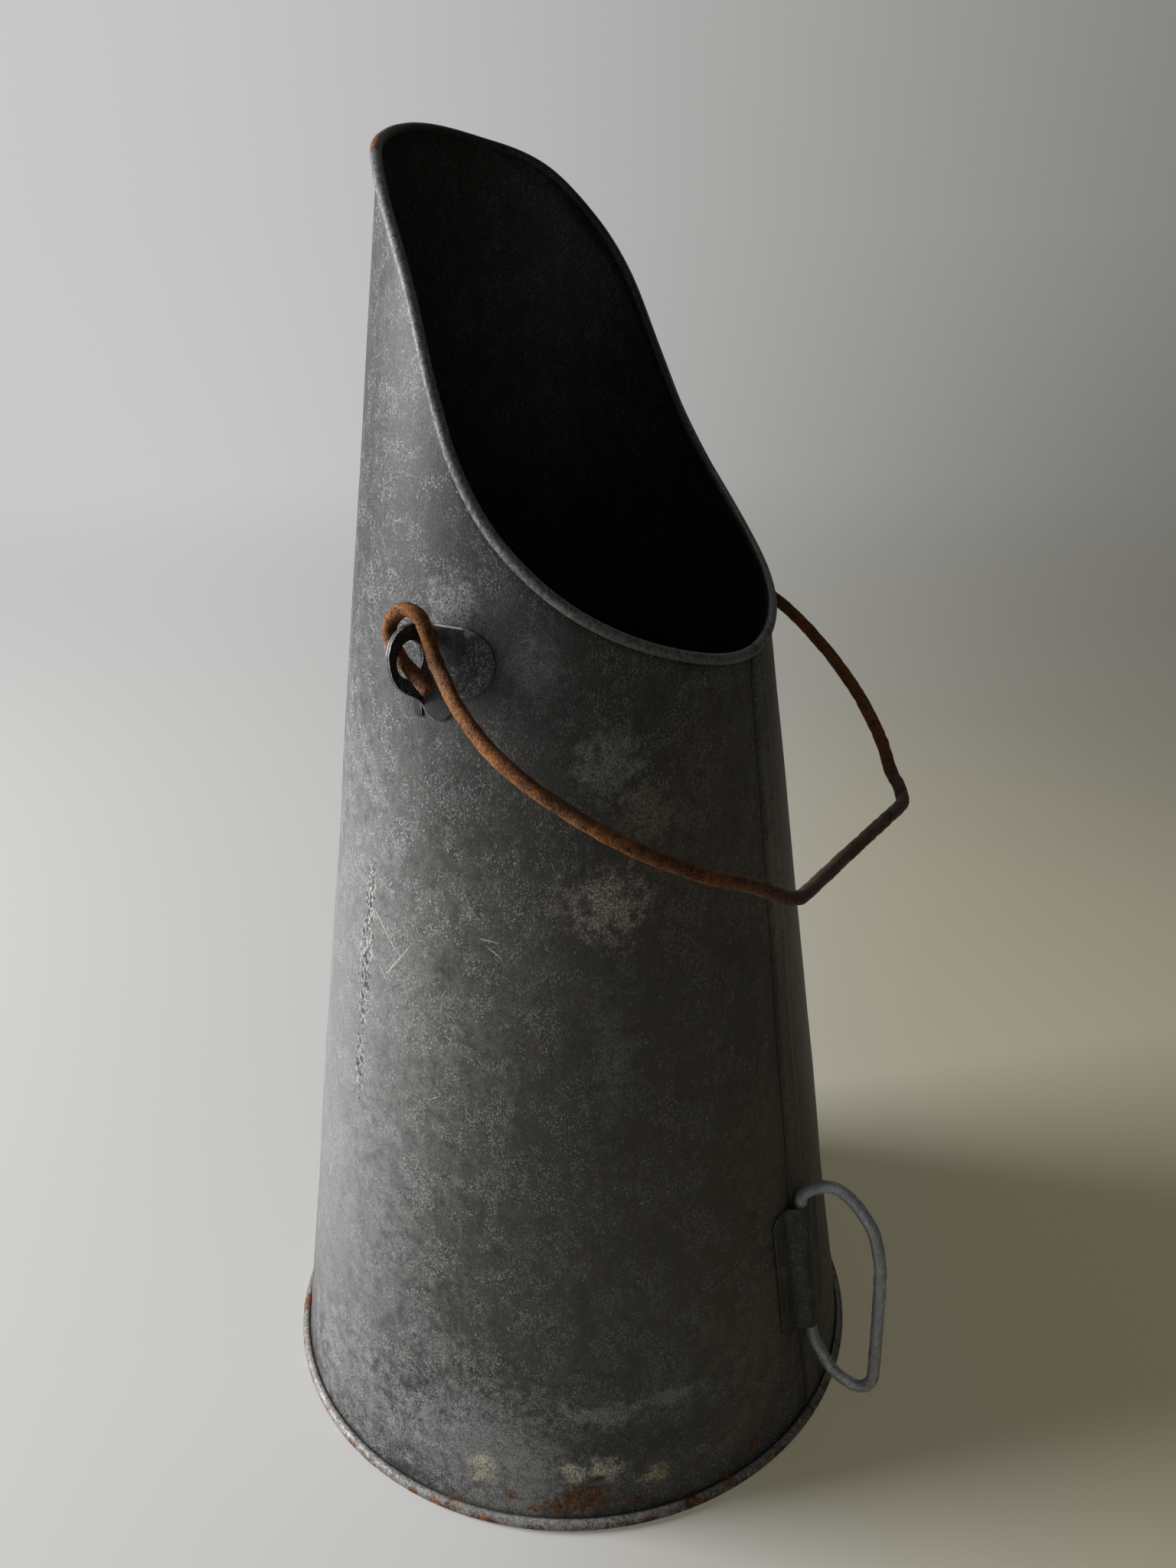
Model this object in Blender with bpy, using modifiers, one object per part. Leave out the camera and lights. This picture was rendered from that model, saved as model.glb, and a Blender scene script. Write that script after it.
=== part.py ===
"""Tall conical coal scuttle of galvanised sheet, with a slanted wired rim, a wire bail and a tipping handle.

Metres, +Z up. The origin is on the cone's axis, in the plane that the foot stands on. +X points to the low
lip, where the seam and the tipping handle are, and the tall spout is at -X. The two ears are at -Y and +Y.
"""
import math

import bmesh
import bpy
from mathutils import Matrix, Vector

# Sheet and clearances
sheet = 0.0007
gap = 0.0003

# Cone wall
foot_radius = 0.1350
wall_taper = 0.1367
lip_height = 0.3535
spout_height = 0.5300
columns = 74

# Rim outline: degrees from the low lip, and the share of the rise from lip to spout
rim_outline = [
    (0, 0.000), (25, 0.040), (50, 0.134), (70, 0.270), (82, 0.402), (90, 0.535),
    (100, 0.704), (112, 0.823), (130, 0.928), (155, 0.980), (180, 1.000),
]

# Rolled edges with a wire inside
foot_wire_radius = 0.0016
foot_roll_proud = 0.0035
rim_wire_radius = 0.0011
rim_roll_proud = 0.0028
roll_end_deg = 105
roll_facets = 8

# Lock seam down the lip side, and the ridge where the floor is fixed
seam_width = 0.0125
seam_proud = 0.0008
seam_step = 0.0005
seam_run_out = 0.0040
floor_height = 0.0255
floor_flange = 0.0130
floor_corner = 0.0030
floor_gap = 0.0006
ridge_half_width = 0.0040
ridge_proud = 0.0005

# Ears: two spot-welded round flanges and a standing eye
hinge_below_rim = 0.0775
eye_radius = 0.0126
eye_hole_radius = 0.0065
eye_bar = 0.0045
eye_reach = 0.0170
eye_hole_margin = 0.0033
flange_radius = 0.0122
flange_length = 0.0275
flange_drop = 0.0118
lobe_radius = 0.0065
lobe_drop = 0.0155
lobe_offset = 0.0045
flange_sides = 32
lobe_sides = 20
eye_sides = 40
hole_sides = 28
hole_cut_depth = 0.0056

# Bail, in its own frame: reach from the hinge, distance from the middle, and lift out of its plane.
# The distances from the middle are those of hooks that are hook_across from it.
hook_across = 0.08836
bail_wire_radius = 0.0027
bail_tilt_deg = 32.5
bail_reach = 0.1555
grip_half_length = 0.0430
bail_leg = [
    (0.0210, 0.0953), (0.0300, 0.0990), (0.0400, 0.1020), (0.0500, 0.1039), (0.0600, 0.1043),
    (0.0720, 0.1027), (0.0830, 0.0997), (0.0950, 0.0955), (0.1070, 0.0896), (0.1180, 0.0824),
    (0.1280, 0.0744), (0.1360, 0.0664),
]
bail_knee = [(0.1405, 0.0608), (0.1453, 0.0568), (0.1510, 0.0524), (0.1546, 0.0475)]
hook_loop = [
    (0.0175, -0.0123), (0.0110, -0.0102), (0.0052, -0.0084), (0.0006, -0.0073), (-0.0036, -0.0056),
    (-0.0064, -0.0022), (-0.0068, 0.0020), (-0.0050, 0.0056), (-0.0012, 0.0080), (0.0040, 0.0080),
    (0.0088, 0.0050), (0.0145, 0.0014),
]

# Tipping handle, a bent wire D held under a saddle plate. Its front is given as distance out of the wall
# at that height, and height.
handle_wire_radius = 0.00275
handle_back_top = 0.1160
handle_back_bottom = 0.0490
handle_back_points = 6
handle_front = [
    (0.0062, 0.1202), (0.0113, 0.1248), (0.0173, 0.1285), (0.0230, 0.1291), (0.0287, 0.1263), (0.0337, 0.1212),
    (0.0373, 0.1141), (0.0388, 0.1048), (0.0388, 0.0900), (0.0337, 0.0440), (0.0321, 0.0352), (0.0283, 0.0293),
    (0.0228, 0.0274), (0.0165, 0.0287), (0.0115, 0.0325), (0.0079, 0.0380), (0.0054, 0.0430),
]
saddle_top = 0.1140
saddle_bottom = 0.0520
saddle_left = 0.0165
saddle_right = 0.0150
saddle_proud_edge = 0.0022

# The saddle's bend over the wire: across in half widths of the wire's bed, and share of its full lift
saddle_bend = [(-2.2, 0.0), (-1.5, 0.3), (-1.0, 0.72), (-0.55, 1.0), (0.55, 1.0), (1.0, 0.72), (1.45, 0.4)]

# Values worked out from the driving dimensions
wall_foot_radius = foot_radius - foot_roll_proud
foot_roll_radius = foot_wire_radius + gap + sheet
rim_roll_radius = rim_wire_radius + gap + sheet
foot_roll_offset = foot_roll_proud - foot_roll_radius
rim_roll_offset = rim_roll_proud - rim_roll_radius
foot_centre_radius = wall_foot_radius + foot_roll_offset
rim_side_height = lip_height + dict(rim_outline)[90] * (spout_height - lip_height)
hinge_height = rim_side_height - hinge_below_rim
eye_hole_height = hinge_height - eye_bar / 2 - eye_hole_radius


def wall_radius(height):
    """Outside radius of the plain cone."""
    return wall_foot_radius - wall_taper * height


def rim_height(azimuth):
    """Height of the rim wire's centre, from a smooth curve through the rim outline."""
    turned = abs(math.degrees(azimuth)) % 360
    turned = min(turned, 360 - turned)
    last = len(rim_outline) - 1
    slopes = [0.0]
    for (a0, s0), (a2, s2) in zip(rim_outline, rim_outline[2:]):
        slopes.append((s2 - s0) / (a2 - a0))
    slopes.append(0.0)
    index = 0
    while index < last - 1 and turned > rim_outline[index + 1][0]:
        index += 1
    (a0, s0), (a1, s1) = rim_outline[index], rim_outline[index + 1]
    width = a1 - a0
    t = (turned - a0) / width
    share = (
        (2 * t**3 - 3 * t**2 + 1) * s0 + (t**3 - 2 * t**2 + t) * width * slopes[index]
        + (-2 * t**3 + 3 * t**2) * s1 + (t**3 - t**2) * width * slopes[index + 1]
    )
    return lip_height + share * (spout_height - lip_height)


def rim_centre(azimuth):
    """Point on the rim wire's centre line."""
    height = rim_height(azimuth)
    radius = wall_radius(height) + rim_roll_offset
    return Vector((radius * math.cos(azimuth), radius * math.sin(azimuth), height))


def rim_directions(azimuth):
    """Directions out of the wall, and along the wall past the rim's edge."""
    step = math.radians(0.5)
    along = (rim_centre(azimuth + step) - rim_centre(azimuth - step)).normalized()
    out = Vector((math.cos(azimuth), math.sin(azimuth), wall_taper)).normalized()
    out = (out - out.dot(along) * along).normalized()
    past = out.cross(along).normalized()
    if past.z < 0:
        past = -past
    return out, past


def roll_section(wire_radius, offset):
    """Points of a rolled edge's mid-surface, as distances out of the wall and past the edge.

    The facets lie outside the true circle, and one of them faces straight past the edge.
    """
    facet = math.tau / roll_facets
    radius = (wire_radius + gap + sheet / 2) / math.cos(facet / 2)
    start = -math.acos((-sheet / 2 - offset) / radius)
    end = -math.radians(360 + roll_end_deg)
    corner = -math.radians(270) + 4.5 * facet
    angles = [start]
    while corner > end + facet / 3:
        if corner < start - facet / 3:
            angles.append(corner)
        corner -= facet
    angles.append(end)
    return [(radius * math.cos(a), radius * math.sin(a)) for a in angles]


def smooth_path(points, step, closed=False):
    """Points about one step apart on a smooth curve through the given points."""
    if closed:
        ends = [points[-1]] + points + points[:2]
    else:
        ends = [points[0] * 2 - points[1]] + points + [points[-1] * 2 - points[-2]]
    path = []
    for p0, p1, p2, p3 in zip(ends, ends[1:], ends[2:], ends[3:]):
        count = max(1, round((p2 - p1).length / step))
        for i in range(count):
            t = i / count
            path.append(
                0.5 * (2 * p1 + (p2 - p0) * t + (2 * p0 - 5 * p1 + 4 * p2 - p3) * t**2
                       + (3 * p1 - p0 - 3 * p2 + p3) * t**3)
            )
    if not closed:
        path.append(points[-1].copy())
    return path


def make_material(name, colour, roughness, metallic):
    material = bpy.data.materials.new(name)
    material.use_nodes = True
    shader = material.node_tree.nodes["Principled BSDF"]
    shader.inputs["Base Color"].default_value = (*colour, 1)
    shader.inputs["Roughness"].default_value = roughness
    shader.inputs["Metallic"].default_value = metallic
    return material


def add_object(name, mesh, collection, material=None):
    """Puts a mesh or curve in a collection as a named object."""
    item = bpy.data.objects.new(name, mesh)
    collection.objects.link(item)
    if material:
        mesh.materials.append(material)
    return item


def shade_round(mesh, degrees=40):
    mesh.shade_smooth()
    mesh.set_sharp_from_angle(angle=math.radians(degrees))


def add_wire(name, points, radius, collection, material, closed=False, resolution=2):
    """A round wire along the given points, with filled ends when it is open."""
    curve = bpy.data.curves.new(name, "CURVE")
    curve.dimensions = "3D"
    curve.bevel_depth = radius
    curve.bevel_resolution = resolution
    curve.use_fill_caps = not closed
    spline = curve.splines.new("POLY")
    spline.points.add(len(points) - 1)
    for target, point in zip(spline.points, points):
        target.co = (*point, 1)
    spline.use_cyclic_u = closed
    return add_object(name, curve, collection, material)


def add_sheet(name, rows, closed, collection, material):
    """A sheet of metal through rows of mid-surface points, given its thickness by Solidify."""
    mesh = bpy.data.meshes.new(name)
    shape = bmesh.new()
    grid = [[shape.verts.new(point) for point in row] for row in rows]
    for upper, lower in zip(grid, grid[1:]):
        count = len(upper)
        for i in range(count if closed else count - 1):
            j = (i + 1) % count
            shape.faces.new((upper[i], lower[i], lower[j], upper[j]))
    bmesh.ops.recalc_face_normals(shape, faces=shape.faces)
    shape.to_mesh(mesh)
    shape.free()
    shade_round(mesh)
    item = add_object(name, mesh, collection, material)
    solid = item.modifiers.new("Sheet", "SOLIDIFY")
    solid.thickness = sheet
    solid.offset = 0
    solid.use_even_offset = True
    return item


def add_cutter(name, collection, build):
    """A closed mesh that only cuts or joins others."""
    mesh = bpy.data.meshes.new(name)
    shape = bmesh.new()
    build(shape)
    shape.to_mesh(mesh)
    shape.free()
    item = add_object(name, mesh, collection)
    item.display_type = "WIRE"
    item.hide_render = True
    return item


def add_boolean(item, other, operation):
    modifier = item.modifiers.new(operation.title(), "BOOLEAN")
    modifier.operation = operation
    modifier.object = other
    modifier.solver = "EXACT"


def body_columns():
    """Azimuth at the rim of each column of the body, with None or its fixed place across the seam."""
    half = seam_step / 2
    places = [(-half, 0.0), (half, seam_proud), (seam_width - half, seam_proud), (seam_width + half, 0.0)]
    lip_radius = wall_radius(lip_height)
    result = []
    for across, proud in places:
        result.append((math.asin(across / lip_radius), across, proud))
    first = result[-1][0]
    last = math.tau + result[0][0]
    plain = columns - len(places)
    for i in range(1, plain + 1):
        result.append((first + (last - first) * i / (plain + 1), None, 0.0))
    return result


def rim_rows(azimuth):
    """Points of the rim's roll at one column, from its free edge to where it leaves the wall."""
    centre = rim_centre(azimuth)
    out, past = rim_directions(azimuth)
    section = roll_section(rim_wire_radius, rim_roll_offset)
    return [centre + out * n + past * b for n, b in reversed(section)]


def column_azimuth(azimuth, across, radius):
    """Azimuth of a column away from the rim: straight down the cone, or along the seam."""
    if across is not None:
        return math.asin(across / radius)
    edge = rim_rows(azimuth)[-1]
    return math.atan2(edge.y, edge.x)


def build_body(collection, material):
    """The cone sheet, rolled outwards at the rim and at the foot."""
    foot_section = roll_section(foot_wire_radius, foot_roll_offset)
    ridge_steps = [
        (floor_height + ridge_half_width, 0.0),
        (floor_height, ridge_proud),
        (floor_height - ridge_half_width, 0.0),
        (2 * foot_roll_radius + seam_run_out, 0.0),
    ]
    lines = []
    for azimuth, across, proud in body_columns():
        line = rim_rows(azimuth)

        def place(radius, height):
            angle = column_azimuth(azimuth, across, radius)
            line.append(Vector((radius * math.cos(angle), radius * math.sin(angle), height)))

        top = line[-1].z - seam_run_out
        for height, lift in [(top, 0.0)] + ridge_steps:
            place(wall_radius(height) - sheet / 2 + max(lift, proud), height)
        for n, b in foot_section:
            place(foot_centre_radius + n, foot_roll_radius - b)
        lines.append(line)
    rows = [list(row) for row in zip(*lines)]
    return add_sheet("body_shell", rows, True, collection, material)


def build_rim_wire(collection, material):
    points = [rim_centre(azimuth) for azimuth, _, _ in body_columns()]
    return add_wire("rim_wire", points, rim_wire_radius, collection, material, closed=True)


def build_foot_wire(collection, material):
    radius = foot_centre_radius
    points = []
    for azimuth, across, _ in body_columns():
        angle = column_azimuth(azimuth, across, radius)
        points.append(Vector((radius * math.cos(angle), radius * math.sin(angle), foot_roll_radius)))
    return add_wire("foot_wire", points, foot_wire_radius, collection, material, closed=True)


def build_floor_pan(collection, material):
    """A flat disc with its edge turned down inside the wall."""
    def inside(height):
        return wall_radius(height) - sheet - floor_gap

    top = floor_height
    low = top - floor_flange
    turn = top - floor_corner
    outline = [
        (inside(top) - floor_corner, top), (inside(turn), turn), (inside(low), low),
        (inside(low) - sheet, low), (inside(turn) - sheet, turn - sheet / 2),
        (inside(top) - floor_corner - sheet / 2, top - sheet),
    ]
    mesh = bpy.data.meshes.new("floor_pan")
    shape = bmesh.new()
    axis_top = shape.verts.new((0, 0, top))
    axis_low = shape.verts.new((0, 0, top - sheet))
    chain = [axis_top] + [shape.verts.new((r, 0, z)) for r, z in outline] + [axis_low]
    for a, b in zip(chain, chain[1:]):
        shape.edges.new((a, b))
    shape.to_mesh(mesh)
    shape.free()
    pan = add_object("floor_pan", mesh, collection, material)
    turned = pan.modifiers.new("Turned", "SCREW")
    turned.steps = columns
    turned.render_steps = columns
    turned.use_merge_vertices = True
    turned.merge_threshold = 0.00005
    return pan


def build_ears(collection, cutters, material):
    """Two ears, each a pair of round flanges on the wall and a standing eye between them."""
    def solid_cone(lift):
        def build(shape):
            low = flange_drop + 3 * flange_radius
            bottom = hinge_height - low
            top = hinge_height + low / 2
            bmesh.ops.create_cone(
                shape, cap_ends=True, segments=2 * columns, depth=top - bottom,
                radius1=wall_radius(bottom) + lift, radius2=wall_radius(top) + lift,
                matrix=Matrix.Translation((0, 0, (top + bottom) / 2)),
            )
        return build

    inner = add_cutter("ear_seat", cutters, solid_cone(gap))
    outer = add_cutter("ear_skin", cutters, solid_cone(gap + sheet))
    middle = hinge_height - flange_drop
    straight = flange_length - flange_radius
    reach = wall_radius(hinge_height)
    across = Matrix.Rotation(math.radians(90), 4, "X")
    hole_y = reach + gap + eye_reach - eye_hole_margin - eye_hole_radius
    plate_y = reach + gap + eye_reach - eye_radius
    plate_z = hinge_height + eye_bar / 2 - eye_radius
    along = Matrix.Rotation(math.radians(90), 4, "Y")

    def disc(shape, radius, depth, matrix, sides):
        bmesh.ops.create_cone(
            shape, cap_ends=True, segments=sides, depth=depth, radius1=radius, radius2=radius, matrix=matrix
        )

    for name, side in (("right_ear", -1), ("left_ear", 1)):
        mid_y = side * reach

        def flange_end(shape, x):
            disc(shape, flange_radius, reach, Matrix.Translation((x, mid_y, middle)) @ across, flange_sides)

        def flange_bar(shape):
            size = Matrix.Diagonal((2 * straight, reach, 2 * flange_radius, 1))
            bmesh.ops.create_cube(shape, matrix=Matrix.Translation((0, mid_y, middle)) @ size)

        def lobe(shape):
            place = Matrix.Translation((lobe_offset, mid_y, middle - lobe_drop))
            disc(shape, lobe_radius, reach, place @ across, lobe_sides)

        def eye_plate(shape):
            place = Matrix.Translation((0, side * plate_y, plate_z))
            disc(shape, eye_radius, 2 * sheet, place @ along, eye_sides)

        def eye_hole(shape):
            place = Matrix.Translation((0, side * hole_y, eye_hole_height))
            disc(shape, eye_hole_radius, hole_cut_depth, place @ along, hole_sides)

        mesh = bpy.data.meshes.new(name)
        shape = bmesh.new()
        flange_bar(shape)
        shape.to_mesh(mesh)
        shape.free()
        ear = add_object(name, mesh, collection, material)
        ends = [
            add_cutter(f"{name}_front_flange", cutters, lambda shape: flange_end(shape, straight)),
            add_cutter(f"{name}_back_flange", cutters, lambda shape: flange_end(shape, -straight)),
            add_cutter(f"{name}_lobe", cutters, lobe),
        ]
        for end in ends:
            add_boolean(ear, end, "UNION")
        add_boolean(ear, outer, "INTERSECT")
        add_boolean(ear, add_cutter(f"{name}_eye_plate", cutters, eye_plate), "UNION")
        add_boolean(ear, inner, "DIFFERENCE")
        add_boolean(ear, add_cutter(f"{name}_eye_hole", cutters, eye_hole), "DIFFERENCE")


def build_bail(collection, material):
    """The swinging bail, one wire from hook to hook, with its origin on the hinge line."""
    eye_y = wall_radius(hinge_height) + gap + eye_reach - eye_hole_margin - eye_hole_radius
    spread = eye_y / hook_across
    half = [Vector((reach, -eye_y, lift)) for reach, lift in hook_loop]
    half += [Vector((reach, -across * spread, 0)) for reach, across in bail_leg + bail_knee]
    half += [Vector((bail_reach, -grip_half_length, 0)), Vector((bail_reach, -grip_half_length / 2, 0))]
    other = [Vector((p.x, -p.y, p.z)) for p in reversed(half)]
    path = smooth_path(half + [Vector((bail_reach, 0, 0))] + other, 1.6 * bail_wire_radius)
    bail = add_wire("bail", path, bail_wire_radius, collection, material)
    bail.location = (0, 0, hinge_height)
    bail.rotation_euler = (0, math.radians(bail_tilt_deg), 0)
    return bail


def build_tipping_handle(collection, material):
    """A closed D of wire that stands out over the seam."""
    def back_x(height):
        return wall_radius(height) + seam_proud + gap + handle_wire_radius

    points = []
    for i in range(handle_back_points):
        height = handle_back_bottom + (handle_back_top - handle_back_bottom) * i / (handle_back_points - 1)
        points.append(Vector((back_x(height), 0, height)))
    points += [Vector((wall_radius(height) + out, 0, height)) for out, height in handle_front]
    path = smooth_path(points, 2 * handle_wire_radius, closed=True)
    return add_wire("tipping_handle", path, handle_wire_radius, collection, material, closed=True)


def build_saddle(collection, material):
    """A plate formed over the handle's straight back, flat on the wall to its left."""
    over = 2 * handle_wire_radius + gap + sheet / 2 + seam_proud + gap
    low = gap + sheet / 2
    beside = handle_wire_radius + gap + sheet
    edge = saddle_proud_edge + seam_proud + low
    section = [(-saddle_left, low)]
    section += [(across * beside, low + lift * (over - low)) for across, lift in saddle_bend]
    section += [(saddle_right - sheet, edge), (saddle_right, edge)]
    rows = []
    for height in (saddle_top, saddle_bottom):
        row = []
        for across, lift in section:
            radius = wall_radius(height) + lift
            row.append(Vector((math.sqrt(radius**2 - across**2), across, height)))
        rows.append(row)
    return add_sheet("handle_saddle", rows, False, collection, material)


def main():
    for item in list(bpy.data.objects):
        bpy.data.objects.remove(item, do_unlink=True)
    parts = bpy.data.collections.new("coal_scuttle")
    cutters = bpy.data.collections.new("cutters")
    bpy.context.scene.collection.children.link(parts)
    bpy.context.scene.collection.children.link(cutters)

    zinc = make_material("weathered_zinc", (0.13, 0.13, 0.13), 0.55, 0.6)
    hidden_wire = make_material("hidden_wire", (0.20, 0.20, 0.19), 0.6, 0.7)
    floor_zinc = make_material("floor_zinc", (0.09, 0.09, 0.09), 0.65, 0.5)
    ear_zinc = make_material("ear_zinc", (0.11, 0.11, 0.11), 0.55, 0.6)
    rusty_wire = make_material("rusty_wire", (0.26, 0.12, 0.055), 0.8, 0.1)
    handle_zinc = make_material("handle_zinc", (0.30, 0.31, 0.31), 0.5, 0.6)
    saddle_zinc = make_material("saddle_zinc", (0.12, 0.115, 0.105), 0.6, 0.5)

    build_body(parts, zinc)
    build_rim_wire(parts, hidden_wire)
    build_foot_wire(parts, hidden_wire)
    build_floor_pan(parts, floor_zinc)
    build_ears(parts, cutters, ear_zinc)
    build_bail(parts, rusty_wire)
    build_tipping_handle(parts, handle_zinc)
    build_saddle(parts, saddle_zinc)


main()
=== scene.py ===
"""Looks of the weathered galvanised coal scuttle with its rusty wire bail."""

import math

import bmesh
import bpy
from mathutils import Matrix, Vector, noise


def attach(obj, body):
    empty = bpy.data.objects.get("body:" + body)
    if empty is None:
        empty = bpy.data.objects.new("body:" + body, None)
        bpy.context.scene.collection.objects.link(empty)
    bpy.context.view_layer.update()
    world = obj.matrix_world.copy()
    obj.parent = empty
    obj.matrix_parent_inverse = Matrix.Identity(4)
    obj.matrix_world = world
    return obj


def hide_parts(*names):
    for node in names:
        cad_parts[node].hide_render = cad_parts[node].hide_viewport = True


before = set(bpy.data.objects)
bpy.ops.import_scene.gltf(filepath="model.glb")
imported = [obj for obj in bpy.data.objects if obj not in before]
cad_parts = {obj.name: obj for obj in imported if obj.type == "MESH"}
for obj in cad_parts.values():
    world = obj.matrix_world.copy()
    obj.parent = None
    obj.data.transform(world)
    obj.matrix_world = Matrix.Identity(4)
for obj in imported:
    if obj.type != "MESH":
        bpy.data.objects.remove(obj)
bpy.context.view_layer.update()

# Sizes of the scuttle in metres, the same as in its CAD model
sheet = 0.0007
gap = 0.0003
wall_foot_radius = 0.1315
wall_taper = 0.1367
lip_height = 0.3535
spout_height = 0.5300
rim_outline = [
    (0, 0.000), (25, 0.040), (50, 0.134), (70, 0.270), (82, 0.402), (90, 0.535),
    (100, 0.704), (112, 0.823), (130, 0.928), (155, 0.980), (180, 1.000),
]
foot_wire_radius = 0.0016
foot_roll_proud = 0.0035
rim_wire_radius = 0.0011
rim_roll_proud = 0.0028
roll_end_deg = 105
floor_height = 0.0255
hinge_height = 0.37043
bail_wire_radius = 0.0027
bail_tilt_deg = 32.5
bail_reach = 0.1555
grip_half_length = 0.0430
bail_leg = [
    (0.0300, 0.0985), (0.0400, 0.1018), (0.0500, 0.1039), (0.0600, 0.1043), (0.0720, 0.1027),
    (0.0830, 0.0997), (0.0950, 0.0955), (0.1070, 0.0896), (0.1180, 0.0824), (0.1280, 0.0744),
    (0.1360, 0.0664),
]
bail_knee = [(0.1405, 0.0608), (0.1453, 0.0568), (0.1510, 0.0524), (0.1546, 0.0475)]
# The hook's path at rest, in the scuttle's own frame: x, distance from the middle, z
hook_path = [
    (0.0110, 0.0940, 0.3525), (0.0057, 0.0940, 0.3572), (0.0022, 0.0940, 0.3600),
    (-0.0008, 0.0940, 0.3628), (-0.0035, 0.0938, 0.3658), (-0.0053, 0.0935, 0.3690),
    (-0.0056, 0.0932, 0.3722), (-0.0042, 0.0928, 0.3757), (-0.0012, 0.0922, 0.3784),
    (0.0022, 0.0915, 0.3793), (0.0053, 0.0908, 0.3779), (0.0075, 0.0904, 0.3747),
    (0.0089, 0.0903, 0.3709), (0.0105, 0.0908, 0.3670), (0.0130, 0.0918, 0.3631),
    (0.0170, 0.0934, 0.3592),
]
handle_wire_radius = 0.00275
handle_back = [
    (0.1293, 0.0490), (0.1275, 0.0624), (0.1256, 0.0758), (0.1238, 0.0892), (0.1220, 0.1026),
    (0.1201, 0.1160),
]
handle_bow = [
    (0.1213, 0.1202), (0.1257, 0.1248), (0.1312, 0.1285), (0.1368, 0.1291), (0.1429, 0.1263),
    (0.1486, 0.1212), (0.1532, 0.1141), (0.1560, 0.1048), (0.1580, 0.0900), (0.1592, 0.0440),
]
handle_return = [
    (0.1588, 0.0352), (0.1558, 0.0293), (0.1505, 0.0274), (0.1441, 0.0287), (0.1386, 0.0325),
    (0.1342, 0.0380), (0.1310, 0.0430),
]

# Where the seam's left edge runs: height and distance across
seam_edge = [
    (0.000, -0.0026), (0.116, -0.0016), (0.193, -0.0006), (0.248, 0.0006), (0.301, 0.0022),
    (0.360, 0.0040),
]


def wall_radius(height):
    """Outside radius of the plain cone."""
    return wall_foot_radius - wall_taper * height


def around(radius, azimuth, height):
    """A point at a distance from the scuttle's axis."""
    return Vector((radius * math.cos(azimuth), radius * math.sin(azimuth), height))


def between(table, place):
    """Straight-line value from a table of places and values."""
    if place <= table[0][0]:
        return table[0][1]
    for (a0, v0), (a1, v1) in zip(table, table[1:]):
        if place <= a1:
            return v0 + (v1 - v0) * (place - a0) / (a1 - a0)
    return table[-1][1]


def rim_height(azimuth):
    """Height of the rim wire's centre."""
    turned = abs(math.degrees(azimuth)) % 360
    turned = min(turned, 360 - turned)
    last = len(rim_outline) - 1
    slopes = [0.0]
    for (a0, s0), (a2, s2) in zip(rim_outline, rim_outline[2:]):
        slopes.append((s2 - s0) / (a2 - a0))
    slopes.append(0.0)
    index = 0
    while index < last - 1 and turned > rim_outline[index + 1][0]:
        index += 1
    (a0, s0), (a1, s1) = rim_outline[index], rim_outline[index + 1]
    width = a1 - a0
    t = (turned - a0) / width
    share = (
        (2 * t**3 - 3 * t**2 + 1) * s0 + (t**3 - 2 * t**2 + t) * width * slopes[index]
        + (-2 * t**3 + 3 * t**2) * s1 + (t**3 - t**2) * width * slopes[index + 1]
    )
    return lip_height + share * (spout_height - lip_height)


def smooth_path(points, step, closed=False):
    """Points about one step apart on a smooth curve through the given points."""
    points = [Vector(p) for p in points]
    if closed:
        ends = [points[-1]] + points + points[:2]
    else:
        ends = [points[0] * 2 - points[1]] + points + [points[-1] * 2 - points[-2]]
    path = []
    for p0, p1, p2, p3 in zip(ends, ends[1:], ends[2:], ends[3:]):
        count = max(1, round((p2 - p1).length / step))
        for i in range(count):
            t = i / count
            path.append(
                0.5 * (2 * p1 + (p2 - p0) * t + (2 * p0 - 5 * p1 + 4 * p2 - p3) * t**2
                       + (3 * p1 - p0 - 3 * p2 + p3) * t**3)
            )
    if not closed:
        path.append(points[-1].copy())
    return path


# Modelling by hand: rings of points, extruded one after another

def select_only(piece):
    bpy.ops.object.select_all(action="DESELECT")
    piece.select_set(True)
    bpy.context.view_layer.objects.active = piece


def name_primitive(name):
    """Names the primitive that was just added."""
    piece = bpy.context.object
    piece.name = name
    piece.data.name = name
    return piece


def place_ring(piece, points):
    """Puts the selected ring of points in its place."""
    shape = bmesh.from_edit_mesh(piece.data)
    ring = [vert for vert in shape.verts if vert.select]
    for vert, point in zip(ring, points):
        vert.co = point
    bmesh.update_edit_mesh(piece.data)


def extrude_rings(name, rings):
    """A circle primitive, put in the first ring's place and extruded from ring to ring."""
    bpy.ops.object.select_all(action="DESELECT")
    bpy.ops.mesh.primitive_circle_add(vertices=len(rings[0]), radius=0.01)
    piece = name_primitive(name)
    bpy.ops.object.mode_set(mode="EDIT")
    place_ring(piece, rings[0])
    for ring in rings[1:]:
        bpy.ops.mesh.extrude_region_move()
        place_ring(piece, ring)
    return piece


def close_ends():
    """Fills the open rings at both ends."""
    bpy.ops.mesh.select_all(action="DESELECT")
    bpy.ops.mesh.select_non_manifold()
    bpy.ops.mesh.fill_holes(sides=0)


def leave_edit():
    """Turns the faces outwards and leaves edit mode."""
    bpy.ops.mesh.select_all(action="SELECT")
    bpy.ops.mesh.normals_make_consistent(inside=False)
    bpy.ops.object.mode_set(mode="OBJECT")


def smooth_shade(piece, degrees):
    select_only(piece)
    bpy.ops.object.shade_smooth_by_angle(angle=math.radians(degrees))


def apply_modifiers(piece):
    select_only(piece)
    for modifier in list(piece.modifiers):
        bpy.ops.object.modifier_apply(modifier=modifier.name)


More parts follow.
